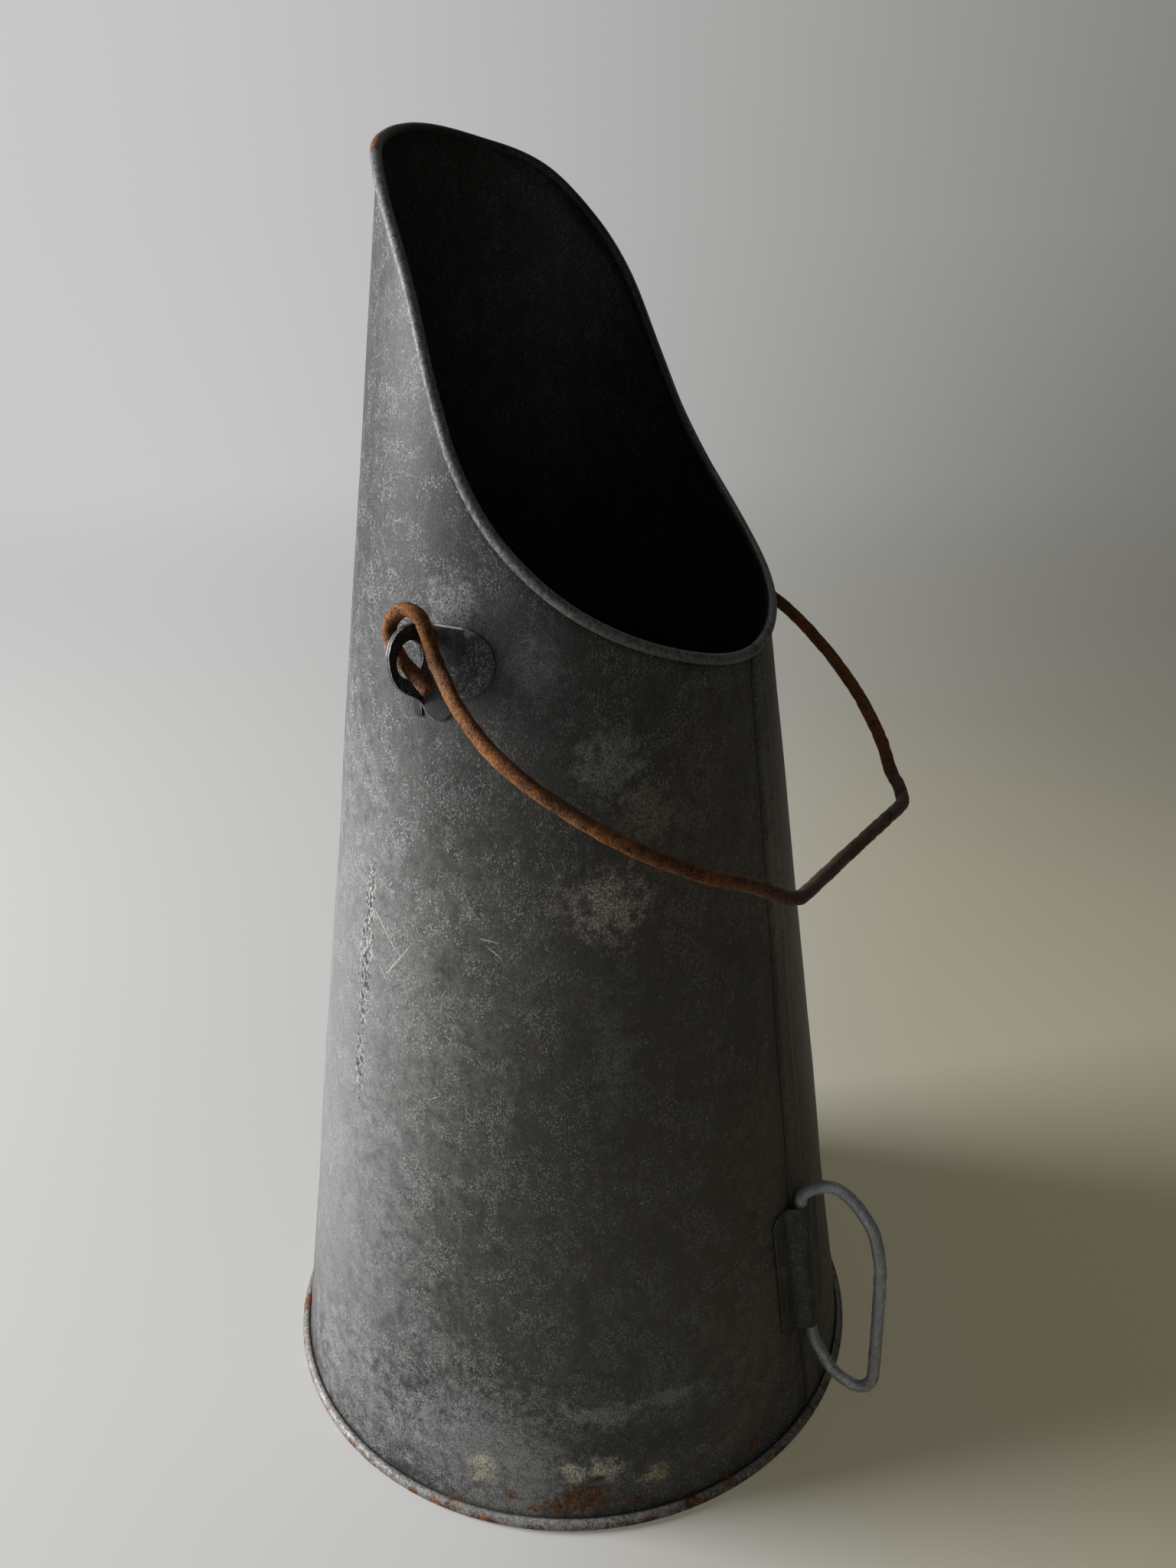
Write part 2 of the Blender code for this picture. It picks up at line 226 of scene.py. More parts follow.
def wobble(point, size, amount, seed=0.0):
    """A smooth random shift of a surface, the same on each run."""
    return amount * noise.noise(Vector(point) / size + Vector((seed, seed * 0.7, seed * 0.3)))


# Body: the cone of sheet with both edges rolled over a wire

def roll_section(wire_radius, offset, steps):
    """Mid-surface points of a rolled edge, as distances out of the wall and past its edge."""
    radius = wire_radius + gap + sheet / 2
    start = -math.acos((-sheet / 2 - offset) / radius)
    end = -math.radians(360 + roll_end_deg)
    angles = [start + (end - start) * i / steps for i in range(steps + 1)]
    return [(radius * math.cos(a), radius * math.sin(a)) for a in angles]


def rim_centre(azimuth):
    height = rim_height(azimuth)
    radius = wall_radius(height) + rim_roll_proud - rim_wire_radius - gap - sheet
    return around(radius, azimuth, height)


def rim_directions(azimuth):
    step = math.radians(0.5)
    along = (rim_centre(azimuth + step) - rim_centre(azimuth - step)).normalized()
    out = Vector((math.cos(azimuth), math.sin(azimuth), wall_taper)).normalized()
    out = (out - out.dot(along) * along).normalized()
    past = out.cross(along).normalized()
    if past.z < 0:
        past = -past
    return out, past


# Across the seam: distance from its left edge, and how proud the sheet or how strong the dirt is
seam_profile = [
    (-0.0070, 0.0000), (-0.0040, 0.0001), (-0.0022, 0.0001), (-0.0013, -0.0001), (-0.0008, -0.0004),
    (-0.0003, -0.0004), (0.0001, 0.0003), (0.0006, 0.0007), (0.0014, 0.0008), (0.0035, 0.0007),
    (0.0062, 0.0006), (0.0090, 0.0007), (0.0108, 0.0008), (0.0117, 0.0007), (0.0123, 0.0003),
    (0.0129, 0.0000), (0.0145, 0.0000), (0.0180, 0.0000),
]
seam_dirt = [
    (-0.0070, 0.0), (-0.0022, 0.45), (-0.0013, 0.8), (-0.0008, 0.9), (-0.0003, 0.9), (0.0001, 0.6),
    (0.0006, 0.1), (0.0035, 0.0), (0.0108, 0.0), (0.0117, 0.2), (0.0123, 0.7), (0.0129, 0.8),
    (0.0145, 0.3), (0.0180, 0.0),
]
plain_columns = 210
wall_rows = 64
foot_curl_steps = 16
rim_curl_steps = 14
# Rows of the wall from the foot's roll up: height, and how proud the ridge at the floor stands there
low_rows = [
    (0.0064, 0.0), (0.0074, 0.0), (0.0100, 0.0), (0.0135, 0.0), (0.0180, 0.0), (0.0212, 0.0),
    (0.0226, 0.00012), (0.0240, 0.0004), (0.0255, 0.0005), (0.0270, 0.0004), (0.0284, 0.00012),
    (0.0298, 0.0), (0.0330, 0.0),
]
rim_clearance = 0.0015
seam_fade = 0.004


def build_shell():
    """The sheet from the foot's roll up the wall to the rim's roll, then thickened."""
    foot_offset = foot_roll_proud - foot_wire_radius - gap - sheet
    rim_offset = rim_roll_proud - rim_wire_radius - gap - sheet
    foot_centre = wall_foot_radius + foot_offset
    foot_height = foot_wire_radius + gap + sheet
    foot_curl = roll_section(foot_wire_radius, foot_offset, foot_curl_steps)
    rim_curl = roll_section(rim_wire_radius, rim_offset, rim_curl_steps)
    columns = [(None, across, proud) for across, proud in seam_profile]
    for i in range(1, plain_columns + 1):
        columns.append((i / (plain_columns + 1), None, 0.0))

    def azimuth_at(column, height, radius):
        place, across, _ = column
        line = between(seam_edge, min(height, lip_height))
        if across is not None:
            return math.asin((across + line) / radius)
        radius = max(radius, wall_radius(lip_height))
        right = math.asin((seam_profile[-1][0] + line) / radius)
        left = math.asin((seam_profile[0][0] + line) / radius) + math.tau
        return right + (left - right) * place

    def on_wall(column, height, lift):
        radius = wall_radius(height) - sheet / 2 + lift
        azimuth = azimuth_at(column, height, radius)
        plain = around(radius, azimuth, height)
        radius += wobble(plain, 0.060, 0.0005) + wobble(plain, 0.022, 0.00012, 3.1)
        return around(radius, azimuth, height)

    rings = []
    for out, down in reversed(foot_curl):
        ring = []
        for column in columns:
            radius = foot_centre + out
            azimuth = azimuth_at(column, foot_height, radius)
            ring.append(around(radius, azimuth, foot_height - down))
        rings.append(ring)
    for height, ridge in low_rows:
        rings.append([on_wall(column, height, max(ridge, column[2])) for column in columns])
    base = low_rows[-1][0]
    rim_edges = []
    for column in columns:
        azimuth = azimuth_at(column, lip_height, wall_radius(lip_height))
        centre = rim_centre(azimuth)
        out, past = rim_directions(azimuth)
        rim_edges.append([centre + out * n + past * b for n, b in rim_curl])
    for row in range(1, wall_rows + 1):
        share = row / (wall_rows + 1)
        ring = []
        for column, edge in zip(columns, rim_edges):
            top = edge[0].z - rim_clearance
            height = base + (top - base) * share
            fade = min(1.0, (top - height) / seam_fade)
            ring.append(on_wall(column, height, column[2] * fade))
        rings.append(ring)
    for step in range(len(rim_curl)):
        rings.append([edge[step] for edge in rim_edges])

    piece = extrude_rings("zinc_shell", rings)
    leave_edit()
    bead = piece.data.attributes.new("bead", "FLOAT", "POINT")
    dirt_and_creases = piece.data.attributes.new("dirt_and_creases", "FLOAT", "POINT")
    foot_rings = len(foot_curl)
    rim_start = len(rings) - len(rim_curl)
    # Darker at the rolls' free ends and where the foot's roll meets the wall; across the seam the darkening
    # is dirt
    crease_darkening = {0: 1.0, foot_rings - 1: 0.8, foot_rings: 0.2, len(rings) - 1: 1.0}
    for index in range(len(piece.data.vertices)):
        ring, place = divmod(index, len(columns))
        if ring < foot_rings - 2:
            bead.data[index].value = 1.0
        elif ring >= rim_start + 2:
            bead.data[index].value = 0.5
        if ring in crease_darkening:
            dirt_and_creases.data[index].value = crease_darkening[ring]
        else:
            dirt_and_creases.data[index].value = between(seam_dirt, columns[place][1] or 1.0)
    thicken(piece, sheet)
    smooth_shade(piece, 50)
    return piece


# Wires: a ring of points carried along a path

def wire_rings(path, radius, count, closed=False, rough=0.0):
    """Rings across a path, each turned as little as possible from the one before."""
    rings = []
    total = len(path)
    normal = None
    for i, point in enumerate(path):
        before = path[(i - 1) % total] if closed else path[max(i - 1, 0)]
        after = path[(i + 1) % total] if closed else path[min(i + 1, total - 1)]
        along = (after - before).normalized()
        if normal is None:
            normal = along.orthogonal().normalized()
        normal = (normal - normal.dot(along) * along).normalized()
        side = along.cross(normal)
        ring = []
        for k in range(count):
            angle = math.tau * k / count
            way = normal * math.cos(angle) + side * math.sin(angle)
            place = point + way * radius
            if rough:
                place += way * (wobble(place, 0.0040, rough) + wobble(place, 0.0016, rough * 0.5, 5.0))
            ring.append(place)
        rings.append(ring)
    return rings


def build_wire(name, path, radius, count, closed=False, rough=0.0):
    rings = wire_rings(path, radius, count, closed, rough)
    if not closed:
        start, end = path[0], path[-1]
        first = [start + (p - start) * 0.86 - (path[1] - start).normalized() * 0.0003 for p in rings[0]]
        last = [end + (p - end) * 0.86 + (end - path[-2]).normalized() * 0.0003 for p in rings[-1]]
        rings = [first] + rings + [last]
    piece = extrude_rings(name, rings)
    if closed:
        bpy.ops.mesh.select_all(action="DESELECT")
        bpy.ops.mesh.select_non_manifold()
        bpy.ops.mesh.bridge_edge_loops()
    else:
        close_ends()
    leave_edit()
    smooth_shade(piece, 50)
    return piece


def build_bail():
    place = Matrix.Translation((0, 0, hinge_height)) @ Matrix.Rotation(math.radians(bail_tilt_deg), 4, "Y")
    half = [Vector((x, -across, z)) for x, across, z in hook_path]
    half += [place @ Vector((reach, -across, 0)) for reach, across in bail_leg + bail_knee]
    half += [place @ Vector((bail_reach, -across, 0)) for across in (grip_half_length, grip_half_length / 2)]
    other = [Vector((p.x, -p.y, p.z)) for p in reversed(half)]
    path = smooth_path(half + [place @ Vector((bail_reach, 0, 0))] + other, 0.0014)
    return build_wire("rusty_bail", path, bail_wire_radius - 0.0001, 20, rough=0.00028)


def build_handle():
    points = [Vector((x, 0, z)) for x, z in handle_back + handle_bow + handle_return]
    path = smooth_path(points, 0.0018, closed=True)
    return build_wire("zinc_handle", path, handle_wire_radius - 0.0001, 20, closed=True, rough=0.00025)


# Ears: folded sheet, a flange on the wall at each side and an eye standing between them

def add_grid(name, rows):
    """A grid primitive with its points put in their places, row by row."""
    across, up = len(rows[0]), len(rows)
    bpy.ops.object.select_all(action="DESELECT")
    bpy.ops.mesh.primitive_grid_add(x_subdivisions=across - 1, y_subdivisions=up - 1, size=0.02)
    piece = name_primitive(name)
    for vert, point in zip(piece.data.vertices, (point for row in rows for point in row)):
        vert.co = point
    return piece


def thicken(piece, thickness, even=True, edge_slot=0):
    """Gives a sheet its thickness; its cut edges take the material edge_slot places further on."""
    solid = piece.modifiers.new("Sheet", "SOLIDIFY")
    solid.material_offset_rim = edge_slot
    solid.thickness = thickness
    solid.offset = 0
    solid.use_even_offset = even
    apply_modifiers(piece)


def cut_hole(piece, centre, radius, depth):
    """A round hole along X."""
    bpy.ops.object.select_all(action="DESELECT")
    bpy.ops.mesh.primitive_cylinder_add(vertices=56, radius=radius, depth=depth, location=centre,
                                        rotation=(0, math.radians(90), 0))
    cutter = bpy.context.object
    hole = piece.modifiers.new("Hole", "BOOLEAN")
    hole.operation = "DIFFERENCE"
    hole.solver = "EXACT"
    hole.object = cutter
    apply_modifiers(piece)
    bpy.data.objects.remove(cutter, do_unlink=True)


def join_pieces(first, *others):
    select_only(first)
    for piece in others:
        piece.select_set(True)
    bpy.ops.object.join()
    return first


# The eye's outer edge, as height and distance out of the wall
eye_edge = [
    (0.3385, 0.0000), (0.3425, 0.0003), (0.3445, 0.0016), (0.3460, 0.0036), (0.3477, 0.0062),
    (0.3500, 0.0103), (0.3530, 0.0140), (0.3567, 0.0167), (0.3610, 0.0184), (0.3653, 0.0190),
    (0.3690, 0.0179), (0.3716, 0.0156), (0.3728, 0.0130), (0.3733, 0.0108),
]
eye_tip = eye_edge[-1][0]
ear_top = 0.3719
ear_bottom = 0.3386
flange_middle = 0.3598
flange_radius = 0.0121
flange_straight = 0.0155
lobe_place = (0.0065, 0.3452)
lobe_radius = 0.0067
eye_hole = (0.0908, 0.3612)
eye_hole_radius = 0.0068
lobe_turn = 0.3440
ear_rows = 44
stand_steps = 12
bend_steps = 6
flange_steps = 18


def flange_reach(height, front):
    """How far the flange runs from the fold at one height."""
    lift = (height - flange_middle) / flange_radius
    disc = flange_straight + flange_radius * math.sqrt(max(0.0, 1 - lift * lift))
    drop = (height - lobe_place[1]) / lobe_radius
    lobe = lobe_place[0] + lobe_radius * math.sqrt(max(0.02, 1 - drop * drop))
    if not front:
        lobe = 0.0026 + 0.0012 * math.sqrt(max(0.0, 1 - drop * drop))
    foot = flange_middle - flange_radius
    share = min(1.0, max(0.0, (height - foot + 0.0004) / 0.0009))
    return lobe + (disc - lobe) * share if height < flange_middle else disc


def ear_half(name, side, front):
    """Half of one ear: the standing eye, the bend and the flange, from outside to the flange's end."""
    turn = 1 if front else -1
    rows = []
    for row in range(ear_rows + 1):
        share = row / ear_rows
        height = ear_bottom + (eye_tip - ear_bottom) * share
        stand = between(eye_edge, height)
        reach = wall_radius(height) + gap + sheet / 2 + (0.0 if front else 0.0001)
        fold = turn * (sheet / 2 + 0.00008)
        bend = min(0.0016, stand * 0.5)
        left = 0.0
        drop = (height - lobe_place[1]) / lobe_radius
        if front and height < lobe_turn:
            left = lobe_place[0] - lobe_radius * math.sqrt(max(0.02, 1 - drop * drop))
            left = max(0.0, left) * min(1.0, (lobe_turn - height) / 0.002)
        lower = min(1.0, max(0.0, (height - ear_top) / (eye_tip - ear_top)))
        points = []
        for i in range(stand_steps + 1):
            out = bend + (stand - bend) * (1 - i / stand_steps)
            dip = lower * (eye_tip - ear_top) * (1 - min(1.0, out / 0.006))
            points.append(Vector((fold + turn * left, reach + out, height - dip)))
        dip = lower * (eye_tip - ear_top)
        for i in range(1, bend_steps + 1):
            angle = math.radians(90) * i / bend_steps
            points.append(Vector((fold + turn * (left + bend * (1 - math.cos(angle))),
                                  reach + bend * (1 - math.sin(angle)), height - dip)))
        start = abs(points[-1].x)
        end = flange_reach(height - dip, front)
        for i in range(1, flange_steps + 1):
            x = start + (max(end, start + 0.0004) - start) * i / flange_steps
            radius = wall_radius(height - dip) + gap + sheet / 2 + 0.00005
            points.append(Vector((turn * x, math.sqrt(radius * radius - x * x), height - dip)))
        rows.append([Vector((p.x, side * p.y, p.z)) for p in points])
    piece = add_grid(name, rows)
    piece.data.materials.append(ear_zinc)
    piece.data.materials.append(ear_edge_highlight)
    thicken(piece, sheet, even=False, edge_slot=1)
    cut_hole(piece, (0, side * eye_hole[0], eye_hole[1]), eye_hole_radius, 0.008)
    return piece


def build_ear(name, side):
    """Both halves of one ear, back to back."""
    ear = join_pieces(ear_half(name, side, True), ear_half(name + "_back", side, False))
    bpy.ops.object.mode_set(mode="EDIT")
    leave_edit()
    smooth_shade(ear, 38)
    return ear


# Saddle: the plate formed over the tipping handle's straight back

saddle_top = 0.1140
saddle_bottom = 0.0520
saddle_rows = 36
# Across the plate: distance from the middle, and how far it stands off the wall
saddle_section = [
    (-0.0165, 0.0007), (-0.0140, 0.0007), (-0.0128, 0.0011), (-0.0116, 0.0008), (-0.0100, 0.0008),
    (-0.0082, 0.0009), (-0.0066, 0.0018), (-0.0050, 0.0040), (-0.0036, 0.0060), (-0.0018, 0.0071),
    (0.0000, 0.0073), (0.0018, 0.0071), (0.0036, 0.0062), (0.0054, 0.0046), (0.0080, 0.0038),
    (0.0110, 0.0036), (0.0138, 0.0037), (0.0149, 0.0038),
]


def build_saddle():
    """The formed plate, its corners cut back a little at both edges."""
    left_end = saddle_section[0][0]
    right_end = saddle_section[-1][0]
    line = smooth_path([Vector((a, b, 0)) for a, b in saddle_section], 0.0006)
    rows = []
    for row in range(saddle_rows + 1):
        share = row / saddle_rows
        points = []
        for place in line:
            across, lift = place.x, place.y
            left = min(1.0, max(0.0, (across - left_end) / 0.0050))
            right = min(1.0, max(0.0, (right_end - across) / 0.0016))
            top = saddle_top - 0.0040 * (1 - left) ** 2 - 0.0010 * (1 - right) ** 2
            bottom = saddle_bottom + 0.0030 * (1 - left) ** 2 + 0.0008 * (1 - right) ** 2
            height = bottom + (top - bottom) * share
            radius = wall_radius(height) + lift
            radius += wobble((across, height, 0.5), 0.012, 0.0003)
            points.append(Vector((math.sqrt(radius**2 - across**2), across, height)))
        rows.append(points)
    piece = add_grid("zinc_saddle", rows)
    bpy.ops.object.mode_set(mode="EDIT")
    leave_edit()
    piece.data.materials.append(saddle_zinc)
    piece.data.materials.append(saddle_edge_highlight)
    thicken(piece, sheet, edge_slot=1)
    smooth_shade(piece, 45)
    return piece


# Floor: a disc let into the cone, its edge turned down

floor_gap = 0.0006
floor_flange = 0.0130
floor_corner = 0.0030
floor_sides = 120


def build_floor_pan():
    """A dished disc with its edge turned down against the wall."""
    def inside(height):
        return wall_radius(height) - sheet - floor_gap

    top = floor_height
    low = floor_height - floor_flange
    turn = floor_height - floor_corner
    edge = inside(top) - floor_corner - 0.0006
    outline = [(radius, top - sheet) for radius in (0.0010, 0.0400, 0.0900, edge)]
    outline += [(inside(top) - 0.0014, turn), (inside(low) - sheet, low), (inside(low), low)]
    for i in range(7):
        angle = math.radians(90) * i / 6
        outline.append((inside(turn) - floor_corner * (1 - math.cos(angle)),
                        turn + floor_corner * math.sin(angle)))
    outline += [(radius, top) for radius in (0.1100, 0.0900, 0.0600, 0.0300, 0.0010)]
    rings = []
    for radius, height in outline:
        ring = []
        for k in range(floor_sides):
            angle = math.tau * k / floor_sides
            dish = wobble(around(radius, angle, 0), 0.045, 0.0005)
            dish *= min(1.0, (0.120 - radius) / 0.03) if radius < 0.120 else 0.0
            ring.append(around(radius, angle, height + dish - 0.0004))
        rings.append(ring)
    piece = extrude_rings("sooty_floor", rings)
    close_ends()
    leave_edit()
    smooth_shade(piece, 40)
    return piece


# Node helpers

def new_material(name):
    material = bpy.data.materials.new(name)
    material.use_nodes = True
    return material, material.node_tree, material.node_tree.nodes["Principled BSDF"]


def new_group(name, inputs, outputs):
    """A shader node group with named sockets."""
    tree = bpy.data.node_groups.new(name, "ShaderNodeTree")
    for label, kind, value in inputs:
        socket = tree.interface.new_socket(label, in_out="INPUT", socket_type=kind)
        if value is not None:
            socket.default_value = value
    for label, kind in outputs:
        tree.interface.new_socket(label, in_out="OUTPUT", socket_type=kind)
    return tree, tree.nodes.new("NodeGroupInput"), tree.nodes.new("NodeGroupOutput")


def set_socket(tree, socket, value):
    """Links a socket to another one, or sets its own value."""
    if isinstance(value, bpy.types.NodeSocket):
        tree.links.new(value, socket)
    elif value is not None:
        socket.default_value = value


def math_node(tree, operation, first, second=None, third=None, clamp=False):
    node = tree.nodes.new("ShaderNodeMath")
    node.operation = operation
    node.use_clamp = clamp
    for socket, value in zip(node.inputs, (first, second, third)):
        set_socket(tree, socket, value)
    return node.outputs[0]


def times(tree, first, second, clamp=False):
    return math_node(tree, "MULTIPLY", first, second, clamp=clamp)


def weighted_sum(tree, *terms):
    """Adds masks, each times its weight."""
    mask, weight = terms[0]
    total = times(tree, mask, weight)
    for mask, weight in terms[1:]:
        total = math_node(tree, "MULTIPLY_ADD", mask, weight, total)
    return total


def highest(tree, masks):
    """The greatest of several masks."""
    total = masks[0]
    for mask in masks[1:]:
        total = math_node(tree, "MAXIMUM", total, mask)
    return total


def split_vector(tree, vector):
    node = tree.nodes.new("ShaderNodeSeparateXYZ")
    set_socket(tree, node.inputs[0], vector)
    return node.outputs


def vector_node(tree, operation, first, second=None, scale=None):
    node = tree.nodes.new("ShaderNodeVectorMath")
    node.operation = operation
    set_socket(tree, node.inputs[0], first)
    set_socket(tree, node.inputs[1], second)
    if scale is not None:
        set_socket(tree, node.inputs["Scale"], scale)
    single = operation in ("LENGTH", "DISTANCE", "DOT_PRODUCT")
    return node.outputs["Value"] if single else node.outputs["Vector"]


def noise_node(tree, vector, scale, detail=3.0, roughness=0.55, distortion=0.0):
    node = tree.nodes.new("ShaderNodeTexNoise")
    set_socket(tree, node.inputs["Vector"], vector)
    set_socket(tree, node.inputs["Scale"], scale)
    node.inputs["Detail"].default_value = detail
    node.inputs["Roughness"].default_value = roughness
    node.inputs["Distortion"].default_value = distortion
    return node.outputs["Fac"]


def range_node(tree, value, low, high, to_low=0.0, to_high=1.0):
    node = tree.nodes.new("ShaderNodeMapRange")
    node.interpolation_type = "SMOOTHSTEP"
    for label, item in (("Value", value), ("From Min", low), ("From Max", high), ("To Min", to_low),
                        ("To Max", to_high)):
        set_socket(tree, node.inputs[label], item)
    return node.outputs["Result"]


def mix_node(tree, share, first, second):
    node = tree.nodes.new("ShaderNodeMix")
    node.data_type = "RGBA"
    set_socket(tree, node.inputs["Factor"], share)
    set_socket(tree, node.inputs[6], first)
    set_socket(tree, node.inputs[7], second)
    return node.outputs[2]


def bump_node(tree, height, strength, distance):
    node = tree.nodes.new("ShaderNodeBump")
    node.inputs["Strength"].default_value = strength
    node.inputs["Distance"].default_value = distance
    set_socket(tree, node.inputs["Height"], height)
    return node.outputs["Normal"]


def group_node(tree, group, **values):
    node = tree.nodes.new("ShaderNodeGroup")
    node.node_tree = group
    for label, value in values.items():
        set_socket(tree, node.inputs[label], value)
    return node


def object_position(tree):
    return tree.nodes.new("ShaderNodeTexCoord").outputs["Object"]


def spot_node(tree, vector, scale, size, share):
    """Round spots of random strength in some cells of a pattern."""
    node = tree.nodes.new("ShaderNodeTexVoronoi")
    set_socket(tree, node.inputs["Vector"], vector)
    node.inputs["Scale"].default_value = scale
    split = tree.nodes.new("ShaderNodeSeparateColor")
    tree.links.new(node.outputs["Color"], split.inputs[0])
    here = range_node(tree, split.outputs[0], share, share + 0.15)
    spot = range_node(tree, node.outputs["Distance"], size, size * 0.60)
    return times(tree, spot, here)


# Colours inside the groups of nodes
zinc_speck = (0.50, 0.50, 0.495, 1)
zinc_pit = (0.022, 0.022, 0.022, 1)
brown_rust = (0.150, 0.054, 0.016, 1)
orange_rust = (0.410, 0.150, 0.030, 1)
deep_rust = (0.100, 0.040, 0.018, 1)
pale_rust = (0.540, 0.255, 0.090, 1)
dark_rust = (0.085, 0.034, 0.016, 1)
rust_pit = (0.022, 0.013, 0.010, 1)
worn_rust = (0.085, 0.068, 0.060, 1)
dull_rust = (0.085, 0.040, 0.022, 1)


def build_zinc_group():
    """Weathered zinc: soft clouds, faint runs down the sheet, pale specks in drifts and small dark pits."""
    tree, given, result = new_group(
        "weathered_zinc_skin",
        [("Position", "NodeSocketVector", None), ("Dark", "NodeSocketColor", (0.06, 0.06, 0.06, 1)),
         ("Pale", "NodeSocketColor", (0.2, 0.2, 0.2, 1)), ("Specks", "NodeSocketFloat", 1.0),
         ("Runs", "NodeSocketFloat", 1.0)],
        [("Color", "NodeSocketColor"), ("Roughness", "NodeSocketFloat"), ("Height", "NodeSocketFloat")],
    )
    position = given.outputs["Position"]
    x, y, z = split_vector(tree, position)
    flat = tree.nodes.new("ShaderNodeCombineXYZ")
    set_socket(tree, flat.inputs[0], x)
    set_socket(tree, flat.inputs[1], y)
    ring = vector_node(tree, "SCALE", vector_node(tree, "NORMALIZE", flat.outputs[0]), scale=0.11)
    drop = tree.nodes.new("ShaderNodeCombineXYZ")
    set_socket(tree, drop.inputs[2], times(tree, z, 0.07))
    run_place = vector_node(tree, "ADD", ring, drop.outputs[0])
    drawn = vector_node(tree, "MULTIPLY", position, (1.0, 1.0, 0.62))

    cloud = noise_node(tree, position, 20.0, 4.0, 0.55, 0.2)
    mottle = noise_node(tree, drawn, 110.0, 4.0, 0.62, 0.2)
    small = noise_node(tree, drawn, 420.0, 3.0, 0.65)
    grain = noise_node(tree, position, 1500.0, 2.0, 0.7)
    runs = noise_node(tree, run_place, 190.0, 4.0, 0.7)
    runs = times(tree, math_node(tree, "SUBTRACT", runs, 0.5), given.outputs["Runs"])
    tone = weighted_sum(tree, (cloud, 0.15), (mottle, 0.13), (small, 0.25), (grain, 0.42), (runs, 0.17))
    tone = range_node(tree, tone, 0.43, 0.67)
    colour = mix_node(tree, tone, given.outputs["Dark"], given.outputs["Pale"])

    drift = noise_node(tree, position, 75.0, 4.0, 0.75, 0.3)
    dense = range_node(tree, drift, 0.44, 0.58, 0.12, 1.0)
    fine = range_node(tree, noise_node(tree, drawn, 1700.0, 1.0, 0.6), 0.55, 0.68)
    fine = times(tree, fine, dense)
    blots = range_node(tree, noise_node(tree, drawn, 300.0, 3.0, 0.8), 0.50, 0.70)
    blots = times(tree, blots, range_node(tree, grain, 0.40, 0.62, 0.2, 1.0))
    blots = times(tree, blots, dense)
    dots = times(tree, spot_node(tree, drawn, 1150.0, 0.32, 0.40), dense)
    large = spot_node(tree, drawn, 360.0, 0.125, 0.78)
    specks = highest(tree, [
        times(tree, fine, 0.70), times(tree, blots, 0.45), times(tree, dots, 0.8), large,
    ])
    specks = times(tree, specks, given.outputs["Specks"], clamp=True)
    colour = mix_node(tree, specks, colour, zinc_speck)
    pits = times(tree, range_node(tree, grain, 0.42, 0.30), range_node(tree, mottle, 0.60, 0.42))
    colour = mix_node(tree, times(tree, pits, 0.6), colour, zinc_pit)
    set_socket(tree, result.inputs["Color"], colour)
    rough = math_node(tree, "MULTIPLY_ADD", tone, 0.12, 0.50)
    rough = math_node(tree, "MULTIPLY_ADD", specks, 0.2, rough)
    set_socket(tree, result.inputs["Roughness"], rough)
    height = weighted_sum(tree, (grain, 0.5), (small, 0.6), (mottle, 0.5))
    set_socket(tree, result.inputs["Height"], height)
    return tree


def build_rust_group():
    """Rust: orange-brown scale with dark pits and a few pale orange grains."""
    tree, given, result = new_group(
        "rust_scale",
        [("Position", "NodeSocketVector", None), ("Wear", "NodeSocketFloat", 0.0)],
        [("Color", "NodeSocketColor"), ("Roughness", "NodeSocketFloat"), ("Height", "NodeSocketFloat")],
    )
    position = given.outputs["Position"]
    cloud = noise_node(tree, position, 120.0, 4.0, 0.70, 0.6)
    grain = noise_node(tree, position, 1150.0, 3.0, 0.75)
    colour = mix_node(tree, range_node(tree, cloud, 0.38, 0.62), brown_rust, orange_rust)
    broad = range_node(tree, noise_node(tree, position, 45.0, 3.0, 0.6), 0.56, 0.42)
    colour = mix_node(tree, times(tree, broad, 0.55), colour, deep_rust)
    colour = mix_node(tree, times(tree, range_node(tree, grain, 0.52, 0.64), 0.60), colour, pale_rust)
    colour = mix_node(tree, times(tree, range_node(tree, grain, 0.46, 0.36), 0.7), colour, dark_rust)
    pits = range_node(tree, noise_node(tree, position, 640.0, 4.0, 0.80, 0.3), 0.555, 0.62)
    pits = times(tree, pits, range_node(tree, cloud, 0.60, 0.46, 0.25, 1.0))
    colour = mix_node(tree, times(tree, pits, 0.9), colour, rust_pit)
    worn = times(tree, given.outputs["Wear"], range_node(tree, cloud, 0.36, 0.52), clamp=True)
    colour = mix_node(tree, times(tree, worn, 0.85), colour, worn_rust)
    set_socket(tree, result.inputs["Color"], colour)
    rough = math_node(tree, "SUBTRACT", 0.82, times(tree, worn, 0.3))
    set_socket(tree, result.inputs["Roughness"], rough)
    height = math_node(tree, "SUBTRACT", times(tree, grain, 0.7), times(tree, pits, 0.9))
    set_socket(tree, result.inputs["Height"], height)
    return tree


